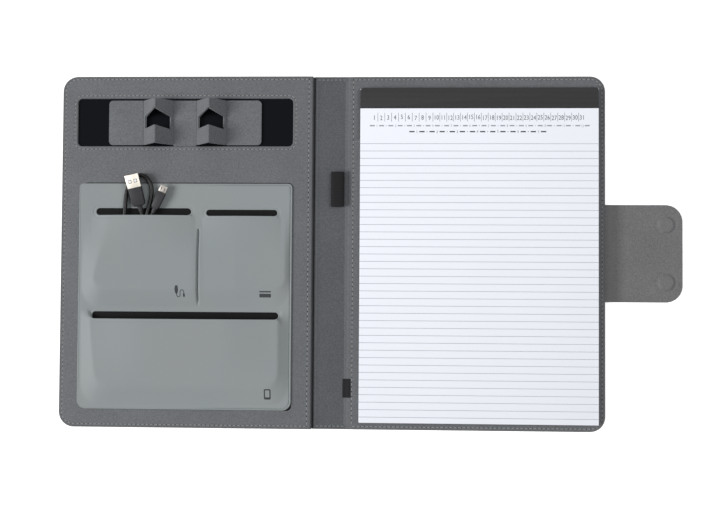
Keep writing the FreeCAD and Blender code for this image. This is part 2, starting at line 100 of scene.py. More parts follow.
class FolioSizes(bpy.types.PropertyGroup):
    """Sizes that a maker may want to change."""
    stitch_pitch: FloatProperty(name="Stitch pitch", default=0.0039, unit="LENGTH",
                                description="Distance from stitch to stitch")
    stitch_length: FloatProperty(name="Stitch length", default=0.0027, unit="LENGTH",
                                 description="Thread that shows in each stitch")
    thread: FloatProperty(name="Thread", default=0.00047, unit="LENGTH",
                          description="Thickness of the sewing thread")
    stitch_inset: FloatProperty(name="Stitch inset", default=0.0028, unit="LENGTH",
                                description="Seam's distance from the cloth's edge")
    panel_wall: FloatProperty(name="Panel wall", default=0.001, unit="LENGTH",
                              description="Wall of the moulded pocket panel")
    line_pitch: FloatProperty(name="Line pitch", default=0.00653, unit="LENGTH",
                              description="Distance between the notepad's ruled lines")
    line_count: IntProperty(name="Ruled lines", default=38, min=1,
                            description="Number of ruled lines on the page")
    lead: FloatProperty(name="Lead diameter", default=0.0035, unit="LENGTH",
                        description="Thickness of the charging lead")


def _colour(name, description, rgb):
    """A colour property from 0-255 screen values, kept as linear light."""
    return FloatVectorProperty(name=name, description=description, subtype="COLOR", size=3,
                               min=0.0, max=1.0, default=linear(rgb))


def linear(rgb):
    """Linear light of a 0-255 screen colour: the standard screen curve undone."""
    c = np.array(rgb, float) / 255.0
    return tuple(np.where(c <= 0.04045, c / 12.92, ((c + 0.055) / 1.055) ** 2.4).tolist())


class FolioColours(bpy.types.PropertyGroup):
    """Colours that a maker may want to change."""
    cloth: _colour("Lining cloth", "Grey melange leathercloth inside the covers", (94, 96, 99))
    # painted shade: the lining's cloth darkened for the spine
    spine: _colour("Spine cloth", "The same cloth on the spine", (70, 72, 76))
    outer: _colour("Outer cloth", "Leathercloth outside and on the closing flap", (93, 93, 94))
    panel: _colour("Pocket panel", "Soft moulded plastic of the pocket panel", (132, 137, 138))
    inlay: _colour("Charging surface", "Inlay over the charging coil", (8, 10, 14))
    thread: _colour("Thread", "Sewing thread", (150, 151, 150))
    paper: _colour("Paper", "Notepad pages", (227, 229, 236))
    rules: _colour("Ruled lines", "Lines printed on the pages", (150, 153, 162))
    binding: _colour("Binding", "Tape over the notepad's head", (51, 51, 52))
    rubber: _colour("Black rubber", "Lead, plugs and elastic", (14, 14, 15))


def sizes():
    """The sizes set in the sidebar."""
    return bpy.context.scene.folio_sizes


def colours():
    """The colours set in the sidebar."""
    return bpy.context.scene.folio_colours


# ------------------------------------------------------------- shader maths


class Wire:
    """A shader socket that arithmetic can be written on."""

    def __init__(self, finish, socket):
        self.finish, self.socket = finish, socket

    def maths(self, operation, *values):
        """A Math node with the values on its sockets in order."""
        return self.finish.node("ShaderNodeMath", {"operation": operation},
                                dict(enumerate(values)))

    def __add__(self, other):
        return self.maths("ADD", self, other)

    def __sub__(self, other):
        return self.maths("SUBTRACT", self, other)

    def __rsub__(self, other):
        return self.maths("SUBTRACT", other, self)

    def __mul__(self, other):
        return self.maths("MULTIPLY", self, other)

    __radd__, __rmul__ = __add__, __mul__

    def wave(self, period):
        """0 to 1 sine of the given period."""
        return self.maths("SINE", self * (2 * math.pi / period)) * 0.5 + 0.5

    def upward(self):
        """The Z part of a vector socket."""
        return self.finish.node("ShaderNodeSeparateXYZ", {}, {0: self}, out="Z")

    def step(self, low, high):
        """0 below low, 1 above high, smooth between."""
        return self.finish.node("ShaderNodeMapRange", {"interpolation_type": "SMOOTHSTEP"},
                                {0: self, 1: low, 2: high, 3: 0.0, 4: 1.0})


class Finish:
    """A material under construction; node() makes any node from settings and values."""

    def __init__(self, name, **constants):
        self.material = bpy.data.materials.new(name)
        self.material.use_nodes = True
        self.tree = self.material.node_tree
        self.tree.nodes.clear()
        out = self.tree.nodes.new("ShaderNodeOutputMaterial")
        self.shader = self.tree.nodes.new("ShaderNodeBsdfPrincipled")
        self.tree.links.new(self.shader.outputs[0], out.inputs[0])
        for key, value in constants.items():
            self.shader.inputs[key.replace("_", " ")].default_value = value
        self.place = self.node("ShaderNodeTexCoord", out="Object")

    def node(self, kind, settings=None, sockets=None, out=0):
        """Any node: its settings first, then the values or links of its sockets."""
        made = self.tree.nodes.new(kind)
        for key, value in (settings or {}).items():
            setattr(made, key, value)
        for key, value in (sockets or {}).items():
            self.feed(made.inputs[key], value)
        return Wire(self, made.outputs[out])

    def feed(self, socket, value):
        """Links a wire to a socket, or writes a value on it; a plain colour gets alpha 1."""
        if isinstance(value, Wire):
            self.tree.links.new(value.socket, socket)
        elif hasattr(socket.default_value, "__len__") and len(socket.default_value) == 4 \
                and len(value) == 3:
            socket.default_value = (*value, 1.0)
        else:
            socket.default_value = value

    def noise(self, scale, detail=2.0, stretch=None, rough=0.5):
        """0 to 1 noise on Object coordinates; scale is cells per metre."""
        place = self.place
        if stretch:
            place = self.node("ShaderNodeMapping", {}, {"Vector": place, "Scale": stretch})
        return self.node("ShaderNodeTexNoise", {}, {"Vector": place, "Scale": scale,
                                                    "Detail": detail, "Roughness": rough})

    def along(self, axis):
        """One Object coordinate, in metres."""
        return self.node("ShaderNodeSeparateXYZ", {}, {0: self.place}, out=axis)

    def between(self, factor, a, b):
        """Colour a where factor is 0, b where it is 1."""
        return self.node("ShaderNodeMix", {"data_type": "RGBA"}, {0: factor, 6: a, 7: b}, out=2)

    def bump(self, height, strength, distance):
        """A normal raised by height, where 1 stands for the distance in metres."""
        return self.node("ShaderNodeBump", {}, {"Height": height, "Strength": strength,
                                                "Distance": distance})

    def paint(self, colour=None, rough=None, normal=None):
        """Feeds the shader what changes over the surface, and gives the material."""
        for key, value in (("Base Color", colour), ("Roughness", rough), ("Normal", normal)):
            if value is not None:
                self.feed(self.shader.inputs[key], value)
        return self.material


def shade(rgb, factor):
    """A colour made lighter or darker by a plain factor."""
    return tuple(min(1.0, c * factor) for c in rgb)


def leathercloth(name, rgb, depth=1.0, painted_shade=None):
    """Melange leathercloth: fine light and dark flecks over a faint cloud, pebbled; depth
    scales the difference between its light and dark flecks, and the last argument paints
    shade along X: the share of the tone that is left, and where that change begins and ends."""
    f = Finish(name, Sheen_Weight=0.12, Sheen_Roughness=0.5, Specular_IOR_Level=0.34)
    fleck, grain = f.noise(820, 3.0), f.noise(2100, 2.0)
    cloud = f.noise(26, 2.0)
    mix = (fleck - 0.5) * 1.1 + (grain - 0.5) * 1.2 + (cloud - 0.5) * 0.32 + 0.5
    apart = 0.34 * depth
    colour = f.between(mix.step(0.0, 1.0), shade(rgb, 1 - apart), shade(rgb, 1 + apart))
    # painted shade: the tone darkens along X between the two places
    if painted_shade:
        tone, begins, ends = painted_shade
        colour = f.node("ShaderNodeMix", {"data_type": "RGBA", "blend_type": "MULTIPLY"},
                        {0: f.along("X").step(begins, ends), 6: colour, 7: (tone,) * 3}, out=2)
    height = grain * 0.6 + f.noise(1300, 2.0) + cloud * 2.5
    return f.paint(colour, 0.7 + (fleck - 0.5) * 0.16, f.bump(height, 0.32, 0.00012))


def moulded(name, rgb):
    """Soft moulded plastic: matte, with a faint cloud and a fine spark-eroded texture."""
    f = Finish(name, Specular_IOR_Level=0.2)
    cloud, fine = f.noise(18, 2.0), f.noise(3000, 2.0)
    tint = f.between(cloud, (rgb[0] * 1.03, rgb[1] * 0.985, rgb[2] * 0.99),
                     (rgb[0] * 0.965, rgb[1] * 1.01, rgb[2] * 1.0))
    return f.paint(tint, 0.58 + (fine - 0.5) * 0.12, f.bump(fine, 0.14, 0.00006))


def plastic(name, rgb, rough=0.42, fine=2400, strength=0.1, level=0.5):
    """Moulded hard plastic with a fine eroded texture and slightly worn tone."""
    f = Finish(name, Specular_IOR_Level=level)
    worn, grain = f.noise(90, 3.0), f.noise(fine, 2.0)
    colour = f.between(worn, shade(rgb, 0.86), shade(rgb, 1.14))
    return f.paint(colour, rough + (worn - 0.5) * 0.16, f.bump(grain, strength, 0.00005))


def metal(name, rgb, rough, stretch=(1.0, 14.0, 1.0)):
    """Plated or rolled metal with fine drawn lines."""
    f = Finish(name, Metallic=1.0)
    lines, worn = f.noise(700, 3.0, stretch), f.noise(160, 2.0)
    colour = f.between(lines, shade(rgb, 0.9), shade(rgb, 1.08))
    return f.paint(colour, rough + (lines - 0.5) * 0.16 + (worn - 0.5) * 0.1,
                   f.bump(lines, 0.08, 0.00003))


def woven(name, rgb, along, pitch):
    """Ribbed elastic or woven tape: ribs across one axis, fine threads along it."""
    f = Finish(name, Specular_IOR_Level=0.15, Sheen_Weight=0.05)
    other = "Z" if along == "Y" else "Y"
    rib = f.along(along).wave(pitch)
    thread = f.noise(1500, 2.0)
    height = rib * 0.8 + thread * 0.5 + f.along(other).wave(pitch * 0.9) * 0.15
    colour = f.between(rib * 0.6 + thread * 0.4, shade(rgb, 0.55), shade(rgb, 1.35))
    return f.paint(colour, 0.8 - rib * 0.12, f.bump(height, 0.6, 0.00018))


def twisted(name, rgb):
    """Sewing thread: two plies seen as short slanted bands."""
    f = Finish(name, Specular_IOR_Level=0.3)
    slant = (f.along("X") + f.along("Y") + f.along("Z")).wave(0.0009)
    colour = f.between(slant, shade(rgb, 0.72), shade(rgb, 1.1))
    return f.paint(colour, 0.62 + slant * 0.15, f.bump(slant, 0.4, 0.0001))


def sheets(name, rgb):
    """Paper: faint fibres on the face, the leaves' edges as fine lines up its sides."""
    f = Finish(name, Specular_IOR_Level=0.1)
    fibre, cloud = f.noise(900, 3.0, (1.0, 3.0, 1.0)), f.noise(14, 2.0)
    side = 1.0 - f.node("ShaderNodeNewGeometry", out="Normal").upward().step(0.4, 0.7)
    leaf = (f.along("Z") + f.noise(60, 2.0) * 0.0002).wave(0.00034) * side
    colour = f.between(leaf * 0.5 + (fibre - 0.5) * 0.08 + (cloud - 0.5) * 0.06 + 0.06,
                       rgb, shade(rgb, 0.55))
    return f.paint(colour, 0.78 + (fibre - 0.5) * 0.1, f.bump(leaf + fibre * 0.15, 0.3, 0.00008))


def board(name, rgb):
    """Pressed grey board: flecked and fibrous."""
    f = Finish(name, Specular_IOR_Level=0.2)
    fibre = f.noise(700, 4.0, (1.0, 2.2, 1.0))
    return f.paint(f.between(fibre, shade(rgb, 0.8), shade(rgb, 1.15)), 0.85 + (fibre - 0.5) * 0.1,
                   f.bump(fibre, 0.3, 0.0001))


def glossy_inlay(name, rgb):
    """Charging surface: near-black soft-touch film, faintly dusty, slightly glossy."""
    f = Finish(name, Specular_IOR_Level=0.05)
    dust, fine = f.noise(420, 4.0, rough=0.7), f.noise(2600, 2.0)
    colour = f.between(dust.step(0.62, 0.8), rgb, shade(rgb, 2.4))
    return f.paint(colour, 0.42 + (dust - 0.5) * 0.2, f.bump(fine, 0.08, 0.00004))


def printing(name, rgb, patchy=0.1):
    """Printing ink, a little patchy."""
    f = Finish(name, Specular_IOR_Level=0.3)
    patch = f.noise(1800, 2.0)
    return f.paint(f.between(patch, shade(rgb, 1 - patchy), shade(rgb, 1 + patchy)),
                   0.6 + (patch - 0.5) * 0.1)


MADE = {}


def finish(key):
    """The material of that key, made once."""
    c = colours()
    recipes = {
        # painted shade on the lining: darker towards +X across the front cover and over the back
        "cloth": lambda: leathercloth("lining_cloth", c.cloth, 0.95, (0.84, -0.3, 0.02)),
        # painted shade: the spine takes a darker copy of the lining cloth
        "spine": lambda: leathercloth("spine_cloth", c.spine, 1.3),
        "outer": lambda: leathercloth("outer_cloth", c.outer, 0.95),
        # painted shade: the flap's cloth made darker near its root fold
        "flap root shade": lambda: leathercloth("flap_root_shaded_cloth", c.outer, 0.95, (0.67, 0.229, 0.217)),
        # painted shade: near-black cloth on the stand boards' sides and undersides
        "dark cloth": lambda: leathercloth("stand_shaded_sides", shade(c.cloth, 0.16)),
        # painted shade for the deep crease in the front fold
        "crease": lambda: leathercloth("crease_painted_shade", shade(c.cloth, 0.4)),
        # painted shade: the lining cloth a little darker on the stand
        "stand": lambda: leathercloth("stand_cloth_shaded", shade(c.cloth, 0.97)),
        "panel": lambda: moulded("pocket_plastic", tuple(c.panel)),
        "inlay": lambda: glossy_inlay("charging_film", tuple(c.inlay)),
        "thread": lambda: twisted("sewing_thread", tuple(c.thread)),
        # painted shade: needle holes as near-black flat spots
        "hole": lambda: printing("needle_hole", (0.012, 0.012, 0.013)),
        "paper": lambda: sheets("page_paper", tuple(c.paper)),
        "rules": lambda: printing("page_rules", tuple(c.rules), 0.05),
        "pale print": lambda: printing("page_print_pale", linear((140, 142, 148))),
        "dark print": lambda: printing("page_print_dark", linear((52, 54, 60))),
        # painted shade: near-black plate under the pocket panel
        "backing": lambda: plastic("pocket_shadow", (0.014, 0.0135, 0.014), 0.9, 1500, 0.1, 0.02),
        "mark": lambda: printing("pocket_mark", linear((46, 48, 50))),
        "binding": lambda: woven("binding_tape", tuple(c.binding), "Y", 0.0011),
        "elastic": lambda: woven("ribbed_elastic", linear((22, 22, 24)), "Y", 0.00135),
        "tape": lambda: woven("woven_tape", linear((26, 26, 28)), "Y", 0.0008),
        "rubber": lambda: plastic("lead_rubber", tuple(c.rubber), 0.32, 1500, 0.08, 0.24),
        "plug": lambda: plastic("plug_plastic", linear((48, 48, 51)), 0.5, 2000, 0.12, 0.2),
        "tongue": lambda: plastic("tongue_plastic", linear((24, 24, 26)), 0.4),
        "shell": lambda: metal("plug_plating", linear((216, 210, 200)), 0.42),
        "worn shell": lambda: metal("micro_plating", linear((150, 146, 140)), 0.46),
        "window": lambda: plastic("plug_window", linear((236, 236, 236)), 0.3),
        "board": lambda: board("grey_board", linear((150, 146, 140))),
        "magnet": lambda: metal("magnet_nickel", linear((196, 196, 194)), 0.22, (3.0, 3.0, 1.0)),
        "steel": lambda: metal("rolled_steel", linear((172, 174, 176)), 0.34),
        "socket": lambda: metal("socket_plating", linear((200, 200, 202)), 0.3),
        "module": lambda: plastic("module_plastic", linear((38, 38, 40)), 0.5),
        "ferrite": lambda: plastic("ferrite", linear((58, 58, 62)), 0.7, 1600, 0.3),
        "copper": lambda: metal("enamelled_copper", linear((196, 112, 62)), 0.3),
        "circuit": lambda: plastic("solder_mask", linear((22, 92, 52)), 0.32),
        "chip": lambda: plastic("chip_resin", linear((30, 30, 31)), 0.55),
        "capacitor": lambda: plastic("capacitor_ceramic", linear((168, 130, 88)), 0.5),
    }
    if key not in MADE:
        MADE[key] = recipes[key]()
    return MADE[key]


# ------------------------------------------------------------------- meshes


def quads(nu, nv, wrap_u=False, wrap_v=False, keep=None):
    """Corner numbers of the cells of a grid numbered row by row."""
    i, j = np.meshgrid(np.arange(nu if wrap_u else nu - 1), np.arange(nv if wrap_v else nv - 1),
                       indexing="ij")
    i2, j2 = (i + 1) % nu, (j + 1) % nv
    cells = np.stack([i * nv + j, i * nv + j2, i2 * nv + j2, i2 * nv + j], -1)
    return cells[keep] if keep is not None else cells.reshape(-1, 4)


class Shape:
    """Points and faces gathered from several grids into one mesh."""

    def __init__(self):
        self.points, self.faces, self.count = [], [], 0

    def grid(self, p, wrap=(False, False), caps=(), keep=None, flip=False):
        """Adds grid p[u, v]; caps names rows of u (0 or -1) closed by one flat face."""
        nu, nv = p.shape[:2]
        cells = quads(nu, nv, *wrap, keep=keep)
        faces = (cells[:, ::-1] if flip else cells) + self.count
        self.faces += faces.tolist()
        for row in caps:
            edge = np.arange(nv) + (0 if row == 0 else (nu - 1) * nv) + self.count
            if (row == 0) != flip:
                edge = edge[::-1]
            self.faces.append(edge.tolist())
        self.points.append(p.reshape(-1, 3))
        self.count += nu * nv
        return self

    def copies(self, template, cells, places, along, across, up):
        """Adds a template at many places: each point is place + its three parts along
        the three directions given for that place."""
        axes = np.stack([along, across, up], 1)
        p = places[:, None, :] + np.einsum("tk,nkc->ntc", template, axes)
        n = len(template)
        faces = (np.array(cells)[None] + (np.arange(len(places)) * n)[:, None, None] + self.count)
        self.faces += faces.reshape(-1, len(cells[0])).tolist()
        self.points.append(p.reshape(-1, 3))
        self.count += len(places) * n
        return self

    def make(self, name, material, merge=0.0, wall=0.0, sharp=40.0, slot=None):
        """The mesh object; merge joins points closer than that, wall gives thickness."""
        mesh = bpy.data.meshes.new(name)
        mesh.from_pydata((np.concatenate(self.points) * MM).tolist(), [], self.faces)
        obj = bpy.data.objects.new(name, mesh)
        bpy.context.scene.collection.objects.link(obj)
        if merge:
            bm = bmesh.new()
            bm.from_mesh(mesh)
            bmesh.ops.remove_doubles(bm, verts=bm.verts, dist=merge * MM)
            bmesh.ops.dissolve_degenerate(bm, edges=bm.edges, dist=1e-7)
            bm.to_mesh(mesh)
            bm.free()
        mesh.materials.append(material)
        mesh.shade_smooth()
        if wall:
            solid = obj.modifiers.new("wall", "SOLIDIFY")
            solid.thickness, solid.offset = wall * MM, -1.0
            solid.use_even_offset = False
            settle(obj)
        obj.data.set_sharp_from_angle(angle=math.radians(sharp))
        return obj


def settle(obj):
    """Turns the modifiers' result into the object's own mesh."""
    bpy.context.view_layer.update()
    shaped = bpy.data.meshes.new_from_object(obj.evaluated_get(
        bpy.context.evaluated_depsgraph_get()))
    shaped.name = obj.name
    obj.modifiers.clear()
    obj.data = shaped
    return obj


def softened(node, name, material, width, segments=2, pick=None, dark=None):
    """A copy of a CAD node, merged and with its edges rounded by a bevel.  pick takes an
    edge's direction and middle in millimetres and says whether it is rounded; dark is a
    second material for all but the face on its top."""
    mesh = NODES[node].data.copy()
    mesh.name = name
    obj = bpy.data.objects.new(name, mesh)
    bpy.context.scene.collection.objects.link(obj)
    bm = bmesh.new()
    bm.from_mesh(mesh)
    bmesh.ops.remove_doubles(bm, verts=bm.verts, dist=1e-6)
    bmesh.ops.dissolve_limit(bm, angle_limit=math.radians(0.6), verts=bm.verts, edges=bm.edges)
    edges = [e for e in bm.edges if len(e.link_faces) == 2
             and e.calc_face_angle(0.0) > math.radians(25)]
    if pick:
        edges = [e for e in edges if pick((e.verts[1].co - e.verts[0].co).normalized(),
                                          (e.verts[0].co + e.verts[1].co) * 500.0)]
    bmesh.ops.bevel(bm, geom=edges, offset=width * MM, segments=segments, profile=0.5,
                    affect="EDGES", clamp_overlap=True)
    top = max((f for f in bm.faces if f.normal.z > 0), key=lambda f: f.calc_area()).normal.copy()
    for face in bm.faces:
        face.material_index = int(bool(dark) and face.normal.dot(top) < 0.5)
    bm.to_mesh(mesh)
    bm.free()
    mesh.materials.clear()
    for coat in (material, dark)[:1 + bool(dark)]:
        mesh.materials.append(coat)
    mesh.shade_smooth()
    mesh.set_sharp_from_angle(angle=math.radians(32))
    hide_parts(node)
    return obj


# --------------------------------------------------------------- cloth edges


def smooth(t):
    """0 to 1 with level ends: 3t squared minus 2t cubed, held outside 0..1."""
    t = np.clip(t, 0.0, 1.0)
    return t * t * (3 - 2 * t)


def hem(t):
    """Outer cloth round an edge t thick, as (inset, height): along the underside past a
    stitched groove, a quarter round, up the wall, a smaller quarter round, and down into
    the seam below the lining."""
    rb, rt = min(1.5, 0.42 * t), min(0.75, 0.3 * t)
    a = np.linspace(0, np.pi / 2, 6)
    g = 0.2 * min(1.0, t / 2.4)
    under = [(4.4, 0), (3.3, 0), (3.05, 0.45 * g), (2.8, g), (2.55, 0.45 * g), (2.3, 0), (1.8, 0)]
    low = np.column_stack([rb - rb * np.sin(a), rb - rb * np.cos(a)])
    wall = [(0, max(t * 1.9 / 6.4, rb + 0.04)), (0, min(t * 4.9 / 6.4, t - rt - 0.09))]
    high = np.column_stack([rt - rt * np.cos(a), t - 0.05 - rt + rt * np.sin(a)])
    tuck = [(rt + 0.2, t - 0.1), (rt + 0.3, t - 0.4), (rt + 0.3, t - min(0.9, 0.45 * t))]
    return np.array(under + low.tolist() + wall + high.tolist() + tuck)


def lip(t):
    """Lining's edge as (inset, height): out of the seam, over a small round, past the
    stitched groove to the flat."""
    d = min(0.5, 0.25 * t)
    return np.array([(1.3, t - d), (1.14, t - 0.6 * d), (1.2, t - 0.1), (1.5, t), (2.2, t),
                     (2.5, t - 0.07), (2.8, t - 0.2), (3.1, t - 0.07), (3.4, t), (4.4, t)])


def cover_path(fold, far, inset, extra=()):
    """Three sides of a cover from one end of its fold to the other, counterclockwise,
    inset inside its edge: straight, quarter circle, straight, quarter circle, straight."""
    s = 1.0 if far > fold else -1.0
    u_mid, v_mid = abs(far - fold) - CORNER, TOP - CORNER
    r, a = max(CORNER - inset, 0.3), np.linspace(0, np.pi / 2, 11)
    u1 = np.unique(np.concatenate([np.linspace(0, u_mid, 5)[:-1], extra]))
    side = np.linspace(-v_mid, v_mid, 7)[1:-1]
    u = np.concatenate([u1, u_mid + r * np.sin(a), np.full(5, u_mid + r),
                        u_mid + r * np.cos(a), np.linspace(0, u_mid, 5)[:-1][::-1]])
    v = np.concatenate([np.full(len(u1), -(v_mid + r)), -v_mid - r * np.cos(a), side,
                        v_mid + r * np.sin(a), np.full(4, v_mid + r)])
    return np.column_stack([fold + s * u, s * v])


def carried(profile, path):
    """Profile of (inset, height) carried along path(inset): a grid [profile, path]."""
    return np.stack([np.column_stack([path(d), np.full(len(path(d)), z)]) for d, z in profile])


def loop(x0, x1, y0, y1, radii, inset=0.0, steps=6, per_side=1):
    """Closed rounded rectangle, counterclockwise from the bottom of the right side; the
    corners keep their centres, so that insets stay parallel."""
    rb, rt, lt, lb = radii
    corners = ((x1, y0, rb, -1, 1, -90), (x1, y1, rt, -1, -1, 0),
               (x0, y1, lt, 1, -1, 90), (x0, y0, lb, 1, 1, 180))
    rows = []
    for x, y, r, sx, sy, start in corners:
        if r > 0:
            a = np.radians(start + np.linspace(0, 90, steps + 1))
            k = max(r - inset, 0.05)
            rows.append(np.column_stack([x + sx * r + k * np.cos(a), y + sy * r + k * np.sin(a)]))
        else:
            rows.append(np.array([[x + sx * inset, y + sy * inset]]))
    if per_side > 1:
        out = []
        for a, b in zip(rows, rows[1:] + rows[:1]):
            t = np.arange(1, per_side)[:, None] / per_side
            out += [a, a[-1] * (1 - t) + b[0] * t]
        rows = out
    return np.concatenate(rows)


def plate(x0, x1, y0, y1, radii, z0, z1, edge=0.3, steps=6):
    """Closed plate with a rounded top and bottom edge: the edge profile carried round."""
    a = np.linspace(0, np.pi / 2, 4)
    prof = np.concatenate([np.column_stack([edge - edge * np.sin(a), z0 + edge - edge * np.cos(a)]),
                           np.column_stack([edge - edge * np.cos(a), z1 - edge + edge * np.sin(a)])])
    p = carried(prof, lambda d: loop(x0, x1, y0, y1, radii, d, steps))
    return Shape().grid(p, (False, True), (0, -1))


def sleeve(xs, thick, under, edge, half, lining):
    """Cloth across a fold or the spine: the edge profile of each thickness at both ends
    of a line across, carried along xs.  lining gives the inside sheet, else the outside."""
    rows = []
    for x, t, zb in zip(xs, thick, under):
        e = edge(t)
        e = np.column_stack([e[:, 0], e[:, 1] + (0 if lining else zb * np.exp(-e[:, 1] / 0.6))])
        if lining:
            y = np.concatenate([-half + e[:, 0], np.linspace(-140, 140, 5), (half - e[:, 0])[::-1]])
            z = np.concatenate([e[:, 1], np.full(5, t), e[::-1, 1]])
        else:
            y = np.concatenate([(-half + e[:, 0])[::-1], np.linspace(-140, 140, 5), half - e[:, 0]])
            z = np.concatenate([e[::-1, 1], np.full(5, zb), e[:, 1]])
        rows.append(np.column_stack([np.full(len(y), x), y, z]))
    return Shape().grid(np.stack(rows), flip=lining)


def bspline(points, n):
    """Quadratic B-spline through control points held at both ends, n points."""
    p = np.array([points[0]] + list(points) + [points[-1]], float)
    t = np.linspace(0, len(p) - 2 - 1e-9, n)
    i, f = t.astype(int), (t % 1.0)[:, None]
    a, b, c = p[i], p[i + 1], p[i + 2]
    return 0.5 * ((1 - f) ** 2 * a + (1 + 2 * f - 2 * f * f) * b + f * f * c)


def groove(x, at):
    """Depth of a stitched groove at a distance: 0.2 times a bell 0.6 wide."""
    return 0.2 * np.exp(-((x - at) / 0.32) ** 2)


def pressed(x, y, corner, r, inward):
    """A grid's square corner made round: a point that is less than r from both sides is
    drawn towards the round's centre, so that the longer of its two distances from that
    centre becomes its slanted distance."""
    (cx, cy), (sx, sy) = corner, inward
    u, v = (cx + sx * r - x) * sx, (cy + sy * r - y) * sy
    m = (u > 0) & (v > 0)
    k = np.where(m, np.maximum(u, v) / np.maximum(np.hypot(u, v), 1e-9), 1.0)
    return np.where(m, cx + sx * (r - u * k), x), np.where(m, cy + sy * (r - v * k), y)


# ---------------------------------------------------------------- operators


class FOLIO_OT_covers(bpy.types.Operator):
    """Front and back cover: outer cloth, and the linings with the charging recess"""
    bl_idname = "folio.covers"
    bl_label = "Covers"

    def execute(self, context):
        port = [abs(PAD_X + d - FRONT_CUT) for d in (-4.6, 4.6)]
        for body, cut, far, t in (("front_cover", FRONT_CUT, LEFT, FRONT_T),
                                  ("back_cover", BACK_CUT, RIGHT, BACK_T)):
            extra = port if body == "front_cover" else []
            path = lambda d: cover_path(cut, far, d, extra)
            profile = hem(t)
            p = carried(profile, path)
            keep = np.ones((p.shape[0] - 1, p.shape[1] - 1), bool)
            if extra:       # the socket's opening: one cell of the wall is left out
                row = np.where((np.abs(profile[:-1, 1] - 1.9) < 0.02) & (profile[:-1, 0] == 0))[0]
                mid = 0.5 * (path(0)[1:, 0] + path(0)[:-1, 0])
                high = path(0)[1:, 1] > TOP - 0.1
                keep[row[0], (np.abs(mid - PAD_X) < 4.6) & high] = False
            skin = Shape().grid(p, caps=(0,), keep=keep).make(
                body.replace("cover", "cloth"), finish("outer"), merge=0.002, wall=0.35,
                slot="melange_cover")
            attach(skin, body)
            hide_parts("front_skin" if extra else "back_skin")
            edge = carried(lip(t), path)
            lining = Shape().grid(edge)
            outer = edge[-1, :, :2]
            if extra:
                self.recess(lining, outer, t)
            else:
                lining.grid(np.stack([edge[-1]]), caps=(-1,))
            sheet = lining.make(body.replace("cover", "lining"), finish("cloth"), merge=0.002,
                                wall=0.6, slot="melange_lining")
            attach(sheet, body)
            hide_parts("front_lining" if extra else "back_lining")
        return {"FINISHED"}

    def recess(self, lining, outer, t):
        """Flat sheet between the cover's edge and the recess, and the turned lip: both
        outlines are sampled by the same share of their length from matching corners."""
        rim = lambda d: loop(*RECESS, (4, 4, 4, 4), -d, 6, 6)
        lip_in = np.array([(4.6, t), (3.4, t), (3.05, t - 0.07), (2.7, t - 0.2), (2.35, t - 0.07),
                           (2.0, t), (0.9, t), (0.55, t - 0.06), (0.25, t - 0.25), (0.06, t - 0.6),
                           (0.0, t - 1.1), (0.0, INLAY_TOP + 0.02)])
        lining.grid(carried(lip_in, rim), (False, True))
        hole = rim(4.6)
        count = len(hole)
        # flat part: triangles filled between the outline and the hole, both as closed loops
        gap = outer[-1] + (outer[0] - outer[-1]) * np.linspace(0, 1, 9)[1:-1, None]
        ring = np.concatenate([outer, gap])
        flat = [tuple(q) for q in np.column_stack([ring, np.full(len(ring), t)])]
        inner = [tuple(q) for q in np.column_stack([hole, np.full(count, t)])]
        bm = bmesh.new()
        loops = []
        for pts in (flat, inner):
            vs = [bm.verts.new(q) for q in pts]
            loops += [bm.edges.new((a, b)) for a, b in zip(vs, vs[1:] + vs[:1])]
        bmesh.ops.triangle_fill(bm, edges=loops, use_beauty=True, normal=(0, 0, 1))
        bm.verts.index_update()
        base = lining.count
        lining.points.append(np.array([v.co[:] for v in bm.verts]))
        for f in bm.faces:
            ring_ids = [v.index + base for v in f.verts]
            lining.faces.append(ring_ids if f.normal.z > 0 else ring_ids[::-1])
        lining.count += len(bm.verts)
        bm.free()


